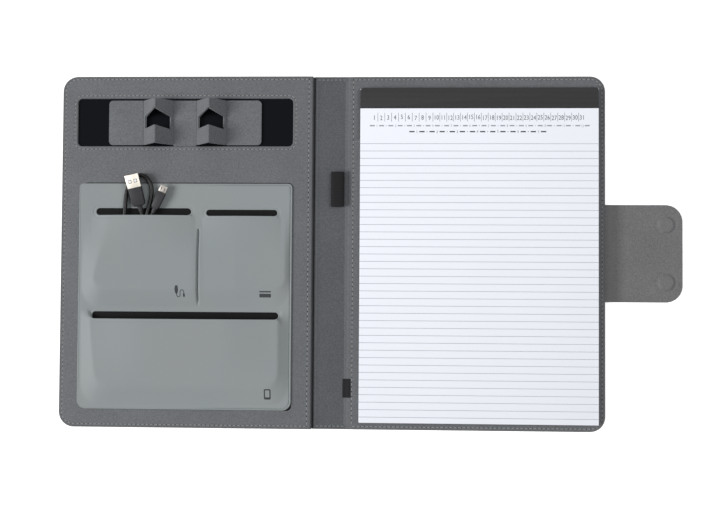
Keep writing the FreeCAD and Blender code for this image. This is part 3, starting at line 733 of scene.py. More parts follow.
class FOLIO_OT_spine(bpy.types.Operator):
    """Spine cloth and the strips of cloth that cross the two folds"""
    bl_idname = "folio.spine"
    bl_label = "Spine and folds"

    def execute(self, context):
        half = TOP
        a, b = SPINE_CUT
        xs = np.linspace(a, b, 5)
        flat = np.full(5, SPINE_T)
        for lining, name, node, tone in ((False, "spine_cloth", "spine_skin", "outer"),
                                         (True, "spine_sheet", "spine_lining", "spine")):
            piece = sleeve(xs, flat, flat * 0, lip if lining else hem, half, lining).make(
                name, finish(tone), wall=0.35, slot="melange_lining" if lining else "melange_cover")
            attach(piece, "spine")
            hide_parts(node)
        # front fold: full cover thickness, a rounded drop, the crease, the spine
        drop = bspline([(FRONT_CUT, FRONT_T), (FOLD_FRONT - 4.4, FRONT_T), (FOLD_FRONT - 2.2, FRONT_T),
                        (FOLD_FRONT - 0.95, FRONT_T - 0.3), (FOLD_FRONT - 0.85, 4.2),
                        (FOLD_FRONT - 0.8, 2.0), (FOLD_FRONT - 0.6, 0.8), (FOLD_FRONT + 0.4, 0.8),
                        (FOLD_FRONT + 0.95, 1.7), (FOLD_FRONT + 1.05, SPINE_T + 0.1),
                        (FOLD_FRONT + 2.2, SPINE_T + 0.05), (a, SPINE_T)], 52)
        drop[:, 1] -= groove(drop[:, 0], FOLD_FRONT - 4.4)
        rise = bspline([(b, SPINE_T), (FOLD_BACK - 2.2, SPINE_T), (FOLD_BACK - 1.0, SPINE_T - 0.2),
                        (FOLD_BACK, SPINE_T + 0.1), (FOLD_BACK + 1.6, BACK_T - 0.2),
                        (FOLD_BACK + 3.0, BACK_T - 0.05), (BACK_CUT, BACK_T)], 36)
        rise[:, 1] -= groove(rise[:, 0], FOLD_BACK + 3.7)
        for line, fold, pair, name in ((drop, FOLD_FRONT, ("front_cover", "spine"), "front_fold"),
                                       (rise, FOLD_BACK, ("spine", "back_cover"), "back_fold")):
            under = 0.22 * np.exp(-((line[:, 0] - fold) / 0.7) ** 2)
            for lining in (False, True):
                piece = sleeve(line[:, 0], line[:, 1], under, lip if lining else hem, half, lining)
                piece = piece.make(name + ("_sheet" if lining else "_cloth"),
                                   finish("cloth" if lining else "outer"), wall=0.35,
                                   slot="melange_lining" if lining else "melange_cover")
                if lining and fold == FOLD_FRONT:       # painted shade: darker cloth on the deep crease's steep faces
                    piece.data.materials.append(finish("crease"))
                    for face in piece.data.polygons:
                        x, _, z = face.center / MM
                        face.material_index = int(abs(x - fold) < 0.95 and z < FRONT_T - 0.9)
                z = 0.0006
                (fold - 2.2) * MM
                (fold + 2.2) * MM
                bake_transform(piece)
        return {"FINISHED"}


class FOLIO_OT_stand(bpy.types.Operator):
    """Folding stand: boards wrapped in cloth and the cloth hinges between them"""
    bl_idname = "folio.stand"
    bl_label = "Folding stand"

    TENT, BOARD = math.radians(52.5), 1.6       # slope of the raised boards, their thickness
    STRIP = (95.2, 135.2)                       # the strip's lower and upper edge
    RIDGES = (("front", 95.35, 111.3), ("rear", 126.4, 135.05))     # the slot lies between

    def execute(self, context):
        across = lambda way, middle: abs(way.y) < 0.97
        for side in ("left", "right"):
            for part in ("inner", "outer", "flap"):
                node = "stand_%s_%s" % (side, part)
                # painted shade: every face of the boards but the top gets the near-black cloth
                piece = softened(node, node + "_wrap", finish("stand"), 0.4, 3, across,
                                 dark=finish("dark cloth"))
                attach(piece, node)
        middle = softened("stand_middle", "stand_middle_wrap", finish("stand"), 0.3, 3, across)
        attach(middle, "front_cover")
        # hinges: a shallow strip in each valley, a round one over each ridge
        for side, s in (("left", -1.0), ("right", 1.0)):
            low, ridge, end = (AXIS["stand_%s_%s" % (side, k)] for k in ("lower", "ridge", "end"))
            inner, outer, flap = ("stand_%s_%s" % (side, k) for k in ("inner", "outer", "flap"))
            slope = math.atan2(ridge[2] + self.BOARD * math.cos(self.TENT) - low[2],
                               abs(ridge[0] - low[0]) - self.BOARD * math.sin(self.TENT))
            up = np.array([s * math.cos(slope), math.sin(slope)])
            for name, at, way_in, way_out, pair, trim in (
                    ("lower", low, np.array([-s, 0.0]), up, ("front_cover", inner), 0.0),
                    ("end", end, np.array([-up[0], up[1]]), np.array([s, 0.0]), (outer, flap), 0.4)):
                # from one board's top, under the fold line, to the other board's top
                c = np.array([at[0], at[2] - 0.3])
                pts = bspline([c + way_in * 1.0, c + way_in * 0.3, c + way_out * 0.3,
                               c + way_out * 1.0], 9)
                if pts[-1, 0] < pts[0, 0]:
                    pts = pts[::-1]
                piece = self.hinge("stand_%s_%s_hinge" % (side, name), pts,
                                   self.STRIP[0] + trim, self.STRIP[1] - trim)
                start, stop = at[[0, 2]] + way_in * 0.5, at[[0, 2]] + way_out * 0.5
                start[0] * MM
                start[1] * MM
                stop[0] * MM
                stop[1] * MM
                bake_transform(piece)
            a = np.linspace(-self.TENT, self.TENT, 15)
            arc = np.column_stack([ridge[0] + self.BOARD * np.sin(a),
                                   ridge[2] + self.BOARD * np.cos(a)])
            for part, v0, v1 in self.RIDGES:
                piece = self.hinge("stand_%s_ridge_%s" % (side, part), arc, v0, v1)
                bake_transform(piece)
        return {"FINISHED"}

    def hinge(self, name, line, y0, y1):
        """A strip: the line in (x, z) carried from y0 to y1, its ends slightly rounded."""
        ys = np.array([y0, y0 + 0.12, y0 + 0.4, y1 - 0.4, y1 - 0.12, y1])
        sink = np.array([0.25, 0.08, 0, 0, 0.08, 0.25])
        p = np.stack([np.column_stack([line[:, 0], np.full(len(line), y), line[:, 1] - d])
                      for y, d in zip(ys, sink)])
        return Shape().grid(p).make(name, finish("stand"), wall=0.5, slot="stand_skin")


# pocket panel: outline, slots and pillows, as heights over the lining
(PX0, PY0, _), (PX1, PY1, _) = span("pocket_panel")
SLOTS = ((-244.2, -158.8, 32.1, 38.4), (-145.1, -81.4, 31.6, 37.2), (-246.9, -79.8, -60.2, -54.0))
MIDDLE = -151.7                                 # groove between the two upper pockets


def slot_gap(x, y, slot):
    """Distance outside a slot's outline, negative inside: a rectangle with round ends."""
    x0, x1, lo, hi = slot
    r = 0.5 * (hi - lo) - 0.05
    dx = np.maximum(np.maximum(x0 + r - x, x - (x1 - r)), 0.0)
    dy = np.maximum(np.abs(y - 0.5 * (lo + hi)) - (0.5 * (hi - lo) - r), 0.0)
    return np.hypot(dx, dy) - r


def wall_left(t):
    """Share of a side wall's height left at t, 0 at its top edge to 1 at its foot: its
    slope grows over the first quarter, stays, and fades over the last tenth."""
    u = np.linspace(0, 1, 61)
    fallen = np.cumsum(np.minimum(np.minimum(u / 0.26, 1), (1 - u) / 0.1))
    return np.interp(t, u, 1 - fallen / fallen[-1])


def outside(x, y, box, r):
    """Distance outside a rectangle open towards +Y, whose two corners have radius r."""
    x0, x1, y0 = box
    hx = np.maximum(np.maximum(x0 + r - x, x - (x1 - r)), 0.0)
    hy = np.maximum(y0 + r - y, 0.0)
    inside = np.minimum(np.minimum(x - x0, x1 - x), y - y0)
    return np.where((hx > 0) & (hy > 0), np.hypot(hx, hy) - r, -inside)


def pillow(x, y, foot, widths, r):
    """1 on a pocket's top, 0 at its foot: the walls fill the room between the outline of
    the top, which lies the widths left, right and low inside the foot, and the foot."""
    x0, x1, y0 = foot
    left, right, low = widths
    from_top = np.maximum(outside(x, y, (x0 + left, x1 - right, y0 + low), r), 0.0)
    from_foot = np.maximum(-outside(x, y, foot, 18.0), 0.0)
    return wall_left(from_top / np.maximum(from_top + from_foot, 1e-9))


def mouth(x, y, slot, lip, early, late):
    """1 before a pocket's lower lip, 0 past it: at once along the slot, and beside the
    slot's ends from early before the lip over a length longer by late."""
    beside = smooth(np.maximum(slot[0] + 2 - x, x - slot[1] + 2) / 7.0)
    return 1 - smooth((y - lip - 0.4 + early * beside) / (2.4 + late * beside))


def crowned(x, y, slot, deep, middle, end):
    """Height of an upper pocket: deep below the slot, and at the slot arched from the
    middle's height down to its ends'."""
    u = np.clip((2 * x - slot[0] - slot[1]) / (slot[1] - slot[0]), -1.1, 1.1)
    arch = end + (middle - end) * (1 - u * u)
    return deep + (arch - deep) * smooth((y + 8.0) / 40.0)


def panel_height(x, y):
    """Top of the panel above the lining: wall, plus the upper pillow, whose left wall
    widens towards the slot, with the groove between its two pockets, plus the phone's
    domed pillow; a dent runs round each slot, whose edge is rounded over."""
    side = smooth((x + 158.0) / 12.0)
    upper = pillow(x, y, (PX0 + 2.4, PX1 - 1.8, -51.0),
                   (13.0 + 14.0 * smooth((y + 32.0) / 62.0), 4.6, 20.0), 9.0)
    cable, card = (mouth(x, y, slot, 32.1 - 0.5 * side, 10.0, 15.0) for slot in SLOTS[:2])
    card_top = crowned(x, y, SLOTS[1], 4.4 - 2.2 * np.clip((x + 118) / 46, 0, 1), 3.9, 1.3)
    upper = upper * (crowned(x, y, SLOTS[0], 5.5, 5.1, 1.5) * cable * (1 - side)
                     + card_top * card * side)
    cut = smooth((y + 50.0) / 6.0) * smooth((20.6 - y) / 1.6)
    upper = upper - np.minimum(upper, 2.2) * np.exp(-((x - MIDDLE) / 0.8) ** 2) * cut
    foot = (PX0 + 2.4, PX1 - 1.8, -138.0)
    phone = pillow(x, y, foot, (11.0 + 5.0 * smooth((-62.0 - y) / 60.0), 11.4, 20.0), 12.0)
    dome = smooth(np.minimum(x - foot[0], foot[1] - x) / 62.0) * smooth((y - foot[2]) / 66.0)
    left = x < -160
    opening = mouth(x, y, SLOTS[2], SLOTS[2][2], np.where(left, 0.0, 7.0),
                    np.where(left, 7.0, 14.0))
    phone = phone * (4.2 + 4.2 * dome) * opening
    z = 1.0 + np.cbrt(upper ** 3 + phone ** 3)
    for slot in SLOTS:
        gap = slot_gap(x, y, slot)
        z = z - 0.22 * np.exp(-((gap - 2.1) / 0.75) ** 2)
        z = z - 0.3 * (1 - np.sqrt(1 - np.clip((0.5 - gap) / 0.5, 0, 1) ** 2))
    return z


class FOLIO_OT_pockets(bpy.types.Operator):
    """Moulded pocket panel with three slots, a bead round its edge and printed marks"""
    bl_idname = "folio.pockets"
    bl_label = "Moulded pockets"

    def ticks(self, low, high, step, marks):
        """Coordinates about a step apart, closer together at the marks."""
        base = np.linspace(low, high, int(round((high - low) / step)) + 1)
        beside = np.array([0.25, 0.5, 0.8, 1.6, 2.4, 3.0, 3.6])
        beside = np.concatenate([-beside[::-1], [0.0], beside])
        near = np.concatenate([m + beside for m in marks])
        edge = np.array([0.15, 0.35, 0.6, 0.9, 1.2, 1.5, 1.8, 2.1, 2.4, 3.0])
        every = np.concatenate([base, near, low + edge, high - edge])
        every = np.sort(every[(every >= low) & (every <= high)])
        keep = [every[0]]
        for v in every[1:]:
            if v - keep[-1] > 0.11:
                keep.append(v)
        keep[-1] = high
        return np.array(keep)

    def execute(self, context):
        xs = self.ticks(PX0, PX1, 1.7, [s[0] for s in SLOTS] + [s[1] for s in SLOTS] + [MIDDLE])
        ys = self.ticks(PY0, PY1, 1.7, [s[2] for s in SLOTS] + [s[3] for s in SLOTS] + [20.0])
        y, x = np.meshgrid(ys, xs, indexing="ij")
        away = np.minimum(np.minimum(x - PX0, PX1 - x), np.minimum(y - PY0, PY1 - y))
        for corner, r, inward in (((PX0, PY0), 8, (1, 1)), ((PX1, PY0), 8, (-1, 1)),
                                  ((PX0, PY1), 4, (1, -1)), ((PX1, PY1), 4, (-1, -1))):
            x, y = pressed(x, y, corner, r, inward)
        right = smooth((x - PX0 - 60.0) / 100.0)
        bead = (0.2 + 0.25 * right) * np.sqrt(np.clip(1 - ((away - 0.75) / 0.75) ** 2, 0, 1))
        dent = 0.04 + 0.5 * right
        z = panel_height(x, y) - dent * np.exp(-((away - 1.75) / 0.4) ** 2)
        rounding = np.clip(away / 0.9, 0, 1)
        z = z + bead - 0.9 * (1 - np.sqrt(rounding * (2 - rounding)))
        panel = Shape().grid(np.stack([x, y, z + FRONT_T], -1)).make(
            "pocket_moulding", finish("panel"), wall=1000 * sizes().panel_wall * 0.96)
        cutters = []
        for i, (x0, x1, lo, hi) in enumerate(SLOTS):
            r = 0.5 * (hi - lo) - 0.05
            ring = loop(x0, x1, lo, hi, (r,) * 4, 0.0, 10)
            p = np.stack([np.column_stack([ring, np.full(len(ring), zz)]) for zz in (2.0, 22.0)])
            cutters.append(Shape().grid(p, (False, True), (0, -1)).make("cutter%d" % i,
                                                                        finish("panel")))
        for c in cutters:
            cut = panel.modifiers.new("slot", "BOOLEAN")
            cut.operation, cut.solver, cut.object = "DIFFERENCE", "MANIFOLD", c
        settle(panel)
        for c in cutters:
            bpy.data.objects.remove(c)
        panel.data.shade_smooth()
        panel.data.set_sharp_from_angle(angle=math.radians(50))
        panel.data.materials.clear()
        panel.data.materials.append(finish("panel"))
        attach(panel, "front_cover")
        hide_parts("pocket_panel")
        # painted shadow: a near-black plate under the panel darkens the slots' insides and lines the
        # panel's edge
        gap = 0.12
        corners = (4 + gap, 4 + gap, 8 + gap, 8 + gap)
        backing = plate(PX0 - gap, PX1 + gap, PY0 - gap, PY1 + 0.6, corners,
                        FRONT_T - 0.05, FRONT_T + 0.03, 0.02).make(
            "pocket_shade_plate", finish("backing"), slot="moulded_panel")
        for piece in (backing, self.marks()):
            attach(piece, "front_cover")
        return {"FINISHED"}

    def lay(self, shape, flat, wrap=(False, False)):
        """Adds a flat grid of (x, y) laid 0.05 above the panel."""
        z = FRONT_T + panel_height(flat[..., 0], flat[..., 1]) + 0.05
        shape.grid(np.concatenate([flat, z[..., None]], -1), wrap)

    def band(self, line, width):
        """Ribbon along a line: the line plus and minus half the width along its normal."""
        t = np.gradient(line, axis=0)
        n = np.column_stack([-t[:, 1], t[:, 0]]) / np.hypot(*t.T)[:, None]
        w = np.reshape(width, (-1, 1)) * 0.5
        return np.stack([line - n * w, line, line + n * w], 0)

    def marks(self):
        """Three plain pictograms: a lead, a card and a phone."""
        shape = Shape()
        # lead: a long plug, a wavy cord and a small plug
        u = np.linspace(0, 1, 19)
        body = np.column_stack([np.full(19, -170.3), -30.3 - 7.6 * u])
        round_ends = np.sin(np.pi * np.clip(u * 0.9 + 0.08, 0, 1))
        self.lay(shape, self.band(body, 3.1 * np.sqrt(np.clip(round_ends, 0.12, 1))))
        cord = bspline([(-170.2, -37.4), (-170.1, -39.6), (-169.0, -40.5), (-167.7, -40.4),
                        (-167.0, -39.2), (-167.1, -36.6), (-166.6, -34.8), (-165.4, -34.1),
                        (-164.2, -34.7), (-163.7, -36.4), (-163.7, -38.4)], 46)
        self.lay(shape, self.band(cord, 0.62))
        small = np.column_stack([np.full(9, -163.7), np.linspace(-37.6, -40.6, 9)])
        round_ends = np.sin(np.linspace(0.5, 2.7, 9))
        self.lay(shape, self.band(small, 1.7 * np.sqrt(np.clip(round_ends, 0.1, 1))))
        # card: a stripe and a block with round corners
        for y0, y1 in ((-36.2, -35.0), (-40.7, -37.4)):
            u = np.linspace(-96.5, -86.3, 21)
            h = (y1 - y0) * (1 - 0.25 * np.clip(np.abs(u + 91.4) - 4.6, 0, 1))
            mid = np.column_stack([u, np.full(21, 0.5 * (y0 + y1))])
            self.lay(shape, self.band(mid, h))
        # phone: an outline with a thick foot
        x0, x1, y0, y1 = -91.7, -85.7, -130.9, -121.5
        rings = np.stack([loop(x0, x1, y0, y1, (1.3,) * 4, 0, 5, 6)]
                         + [loop(x0 + 1.05 * k, x1 - 1.05 * k, y0 + 2.0 * k, y1 - 1.1 * k,
                                 (0.6,) * 4, 0, 5, 6) for k in (0.5, 1.0)])
        self.lay(shape, rings, wrap=(False, True))
        return shape.make("pocket_marks", finish("mark"), slot="moulded_panel")


class FOLIO_OT_lead(bpy.types.Operator):
    """Charging lead: a smooth cord and its two plugs"""
    bl_idname = "folio.lead"
    bl_label = "Charging lead"

    ROUTE = (
        (-203.1, 34.6, 9.8), (-202.2345, 30.9671, 9.1088), (-202.9, 25.0, 8.8),
        (-204.4, 16.0, 8.6), (-203.8, 4.0, 8.3), (-205.4, -9.0, 8.3),
        (-211.6, -19.6, 8.3), (-221.5, -23.2, 8.3), (-230.0, -17.5, 8.3),
        (-232.8, -6.0, 8.3), (-229.6, 6.5, 8.3), (-223.6, 17.0, 8.6),
        (-219.2, 26.5, 9.2), (-217.8, 37.0, 9.7), (-217.2, 50.0, 9.8),
        (-214.0, 62.4, 9.9), (-205.4, 69.2, 9.2), (-197.2, 65.4, 9.9),
        (-193.2, 55.6, 9.8), (-195.0, 44.6, 9.7), (-198.0, 34.2, 9.6),
        (-199.0, 23.5, 8.9), (-197.6, 13.0, 8.4), (-196.4, 5.0, 8.3),
        (-192.0, -2.2, 8.3), (-185.4, -8.0, 8.3), (-176.2, -8.1, 8.3),
        (-169.4, -1.3, 8.3), (-169.4, 8.3, 8.3), (-176.2, 15.1, 8.3),
        (-186.0, 16.2, 8.4), (-193.2, 20.4, 8.7), (-195.31, 28.32, 9.29), (-192.6, 34.3, 9.95),
    )

    def execute(self, context):
        data = bpy.data.curves.new("charging_lead", "CURVE")
        data.dimensions, data.bevel_depth, data.bevel_resolution = "3D", 0.5 * sizes().lead, 5
        spline = data.splines.new("NURBS")
        spline.points.add(len(self.ROUTE) - 1)
        spline.points.foreach_set("co", [c for p in self.ROUTE
                                         for c in (p[0] * MM, p[1] * MM, p[2] * MM, 1.0)])
        spline.order_u, spline.use_endpoint_u, spline.resolution_u = 3, True, 8
        data.use_fill_caps = True
        data.materials.append(finish("rubber"))
        lead = bpy.data.objects.new("charging_lead", data)
        context.scene.collection.objects.link(lead)
        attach(lead, "front_cover")
        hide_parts("lead_cord")
        pieces = []
        for node, key, width, slot in (("usb_a_body", "plug", 0.55, "plug_black"),
                                       ("usb_a_tongue", "tongue", 0.15, "plug_black"),
                                       ("micro_body", "plug", 0.5, "plug_black"),
                                       ("usb_a_shell", "shell", 0.12, "plug_metal"),
                                       ("micro_shell", "worn shell", 0.1, "plug_metal")):
            piece = softened(node, node + "_part", finish(key), width, 2)
            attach(piece, "front_cover")
            pieces.append(piece)
        pieces += self.plug_details()
        return {"FINISHED"}

    def plug_details(self):
        """Windows of the larger shell with their rims, spring tabs of the smaller, drawn along
        each plug's own axis and then turned to lie on it."""
        out = []
        a_at, a_way = np.array(self.ROUTE[0]), np.array(self.ROUTE[0]) - np.array(self.ROUTE[1])
        m_at, m_way = np.array(self.ROUTE[-1]), np.array(self.ROUTE[-1]) - np.array(self.ROUTE[-2])
        for name, at, way, key, marks in (
                ("usb_a_windows", a_at, a_way, "window",
                 [(27.6, 29.8, -3.6, -1.4, 2.16, 2.30), (27.6, 29.8, 1.4, 3.6, 2.16, 2.30)]),
                ("usb_a_window_rims", a_at, a_way, "tongue",
                 [(27.2, 30.2, -4.0, -1.0, 2.1, 2.27), (27.2, 30.2, 1.0, 4.0, 2.1, 2.27)]),
                ("micro_tabs", m_at, m_way, "tongue",
                 [(21.2, 24.4, -1.9, -1.2, 0.86, 0.98), (21.2, 24.4, 1.2, 1.9, 0.86, 0.98)])):
            d = way / np.linalg.norm(way)
            across = np.cross([0, 0, 1.0], d)
            across /= np.linalg.norm(across)
            axes = np.stack([d, across, np.cross(d, across)])
            shape = Shape()
            for x0, x1, y0, y1, z0, z1 in marks:
                flat = plate(x0, x1, y0, y1, (0.3,) * 4, z0, z1, 0.04, 3)
                shape.points.append(at + np.concatenate(flat.points) @ axes)
                shape.faces += [[i + shape.count for i in f] for f in flat.faces]
                shape.count += flat.count
            piece = shape.make(name, finish(key), slot="plug_black")
            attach(piece, "front_cover")
            out.append(piece)
        return out


BACK_SEAM = FOLD_BACK + 3.7                     # seam of the notepad pocket beside the fold
SHEET = span("pocket_sheet")
NOTE = span("pad_pages")
BACKING = span("pad_backing")


class FOLIO_OT_back_pocket(bpy.types.Operator):
    """Cloth pocket that holds the notepad's backing board"""
    bl_idname = "folio.back_pocket"
    bl_label = "Notepad pocket"

    def execute(self, context):
        (_, y0, _), (x1, y1, top) = SHEET
        x0 = BACK_SEAM - 2.0
        near = np.array([0, 0.2, 0.5, 0.9, 1.4, 1.8, 2.1, 2.4, 2.7, 3.2, 3.8, 4.4, 5.0, 5.6, 6.4])
        xs = np.concatenate([x0 + near, np.linspace(x0 + 9, x1 - 10, 40), (x1 - near)[::-1]])
        ys = np.concatenate([y0 + near, np.linspace(y0 + 9, y1 - 10, 44), (y1 - near)[::-1]])
        y, x = np.meshgrid(ys, xs, indexing="ij")
        away = np.minimum(np.minimum(x - x0, x1 - x), y - y0)
        # the lower corner at the cover's edge follows the cover's own round
        x, y = pressed(x, y, (x1, y0), CORNER - 1.6, (-1, 1))
        # flat on the lining at its sewn sides, raised over the board, open at the top
        over = (smooth((x - NOTE[0][0] + 1.6) / 1.4) * smooth((x1 - x - 3.0) / 3.0)
                * smooth((y - y0 - 3.0) / 2.6))
        z = BACK_T + 0.8 + (top - BACK_T - 0.8) * over
        z = z - groove(x, BACK_SEAM) - groove(y, y1 - 2.4) - 0.7 * np.exp(-(away / 0.35) ** 2)
        z = z - groove(away, 1.9) * (x > x0 + 6) - 0.4 * np.exp(-((y1 - y) / 0.3) ** 2)
        z = np.minimum(z, top)
        sheet = Shape().grid(np.stack([x, y, z], -1)).make(
            "pocket_cloth", finish("cloth"), wall=0.55, slot="melange_lining")
        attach(sheet, "back_cover")
        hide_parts("pocket_sheet")
        return {"FINISHED"}


class FOLIO_OT_notepad(bpy.types.Operator):
    """Notepad: leaves, backing board, head tape and its printed rules and numbers"""
    bl_idname = "folio.notepad"
    bl_label = "Notepad"

    FIRST_LINE, LINE_WIDTH = 96.3, 0.42
    DAYS, DAY_X, DAY_PITCH, DAY_Y, DAY_HIGH = 31, 4.5, 6.1, 119.6, 5.0
    ROWS, ROW_HIGH = ((12, 6.8, 187.8, 112.3), (7, 42.3, 149.3, 107.0)), 2.8   # count, X, X, Y

    def execute(self, context):
        (x0, y0, z0), (x1, y1, z1) = NOTE
        pages = plate(x0, x1, y0, y1, (0.6,) * 4, z0, z1, 0.15, 3).make(
            "page_block", finish("paper"), slot="paper")
        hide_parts("pad_pages")
        backing = softened("pad_backing", "backing_board", finish("board"), 0.12, 1)
        (bx0, by0, bz0), (bx1, by1, bz1) = span("pad_binding")
        tape = plate(bx0, bx1, by0, by1, (0.3, 2.8, 2.8, 0.3), bz0, bz1, 0.35, 6).make(
            "head_tape", finish("binding"), slot="binding_tape")
        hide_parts("pad_binding")
        rules = self.rules(x0, x1, z1)
        for piece in (pages, backing, tape, rules, *self.numbers(z1)):
            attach(piece, "notepad")
        return {"FINISHED"}

    def rules(self, x0, x1, z):
        """Ruled lines: thin bars across the page, one pitch apart."""
        s = sizes()
        shape = Shape()
        n = s.line_count
        y = self.FIRST_LINE - 1000 * s.line_pitch * np.arange(n)
        box = np.array([(x, t, w) for x in (0.0, 1.0) for t in (-0.5, 0.5) for w in (-1.0, 1.0)])
        cells = ((0, 1, 3, 2), (4, 6, 7, 5), (0, 4, 5, 1), (2, 3, 7, 6), (0, 2, 6, 4), (1, 5, 7, 3))
        places = np.column_stack([np.full(n, x0), y, np.full(n, z)])
        one = np.ones((n, 1))
        shape.copies(box, cells, places, one * [x1 - x0, 0, 0], one * [0, self.LINE_WIDTH, 0],
                     one * [0, 0, 0.02])
        return shape.make("page_lines", finish("rules"), slot="paper")

    def numbers(self, z):
        """Days 1 to 31 between bars, then two rows of plain numbers between bars and dots."""
        pale, dark = Shape(), Shape()
        for i in range(self.DAYS):
            x = self.DAY_X + self.DAY_PITCH * i
            self.write(dark, str(i + 1), x, self.DAY_Y, self.DAY_HIGH, z)
            if i < self.DAYS - 1:
                self.bar(pale, x + 0.5 * self.DAY_PITCH, self.DAY_Y + 0.3, 0.45, 7.8, z)
        for (count, left, right, y), shape in zip(self.ROWS, (pale, dark)):
            xs = np.linspace(left, right, count)
            gap = xs[1] - xs[0]
            for i, x in enumerate(xs):
                self.write(shape, str(i + 1), x, y, self.ROW_HIGH, z)
                for d in (-0.25, 0.25):
                    self.bar(shape, x + d * gap, y, 0.26 * gap, 1.15, z)
                if i < count - 1:
                    self.bar(shape, 0.5 * (x + xs[i + 1]), y, 0.7, 0.7, z)
        return (pale.make("page_print_pale", finish("pale print"), slot="paper"),
                dark.make("page_print_dark", finish("dark print"), slot="paper"))

    def bar(self, shape, x, y, w, h, z):
        """A flat bar w wide and h high, centred on (x, y)."""
        p = np.array([[(x - w / 2, y - h / 2, z + 0.03), (x + w / 2, y - h / 2, z + 0.03)],
                      [(x - w / 2, y + h / 2, z + 0.03), (x + w / 2, y + h / 2, z + 0.03)]])
        shape.grid(p, flip=True)

    def write(self, shape, text, x, y, size, z):
        """Plain digits from the built-in face, filled flat and centred on (x, y)."""
        data = bpy.data.curves.new("digits", "FONT")
        data.body, data.size, data.resolution_u = text, 1.0, 3
        data.align_x, data.align_y = "CENTER", "CENTER"
        obj = bpy.data.objects.new("digits", data)
        bpy.context.scene.collection.objects.link(obj)
        bpy.context.view_layer.update()
        mesh = bpy.data.meshes.new_from_object(obj.evaluated_get(
            bpy.context.evaluated_depsgraph_get()))
        p = np.zeros(len(mesh.vertices) * 3)
        mesh.vertices.foreach_get("co", p)
        p = p.reshape(-1, 3)
        high = p[:, 1].max() - p[:, 1].min()
        k = size / 0.95
        p = np.column_stack([p[:, 0] * k * 0.9 + x,
                             (p[:, 1] - p[:, 1].mean()) * size / high * 0.8 + y,
                             np.full(len(p), z + 0.03)])
        for f in mesh.polygons:
            ids = [i + shape.count for i in f.vertices]
            shape.faces.append(ids if f.normal.z > 0 else ids[::-1])
        shape.points.append(p)
        shape.count += len(p)
        bpy.data.objects.remove(obj)
        bpy.data.curves.remove(data)
        bpy.data.meshes.remove(mesh)


class FOLIO_OT_pen_loop(bpy.types.Operator):
    """Ribbed elastic pen loop on the spine and a small bare tab beside it"""
    bl_idname = "folio.pen_loop"
    bl_label = "Pen loop and tab"

    def execute(self, context):
        (x0, y0, z0), (x1, y1, z1) = span("pen_loop")
        cx, cz = 0.5 * (x0 + x1), 0.5 * (z0 + z1)
        a = np.linspace(0, 2 * np.pi, 56, endpoint=False)
        # flattened round: a superellipse of power 3 across, carried up the loop
        power = 2 / 3.0
        cross = np.column_stack([
            cx + (x1 - x0) / 2 * np.sign(np.cos(a)) * np.abs(np.cos(a)) ** power,
            cz + (z1 - z0) / 2 * np.sign(np.sin(a)) * np.abs(np.sin(a)) ** power])
        t = np.linspace(0, 1, 4 * int(round((y1 - y0) / 1.35)) + 1)
        ys = y0 + (y1 - y0) * t
        swell = 1 - 0.05 * np.exp(-(np.minimum(t, 1 - t) / 0.03) ** 2)
        rib = 0.018 * (np.sin(0.5 * np.pi * np.arange(len(t))) - 1)
        p = np.stack([np.column_stack([cx + (cross[:, 0] - cx) * (k + r),
                                       np.full(len(a), y), cz + (cross[:, 1] - cz) * (k + r)])
                      for y, k, r in zip(ys, swell, rib)])
        p[..., 2] = np.maximum(p[..., 2], z0)
        band = Shape().grid(p, (False, True), flip=True).make(
            "pen_elastic", finish("elastic"), wall=0.65, slot="black_elastic")
        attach(band, "spine")
        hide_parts("pen_loop")
        (x0, y0, z0), (_, y1, _) = span("side_tag")
        x1 = BACK_SEAM - 0.9
        u, v = np.linspace(0, 1, 15), np.linspace(0, 1, 17)
        vv, uu = np.meshgrid(v, u, indexing="ij")
        x = x0 + (x1 - x0) * uu
        z = z0 + 0.42 + 0.9 * smooth((x - FOLD_BACK + 2.0) / 3.4)
        z = z + 0.22 * np.sin(np.pi * uu) * (0.8 + 0.2 * np.sin(3 * vv)) - 0.1 * (1 - uu) ** 6
        tab = Shape().grid(np.stack([x, y0 + (y1 - y0) * vv, z], -1)).make(
            "side_tab", finish("tape"), wall=0.28, slot="black_tape")
        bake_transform(tab)
        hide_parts("side_tag")
        return {"FINISHED"}


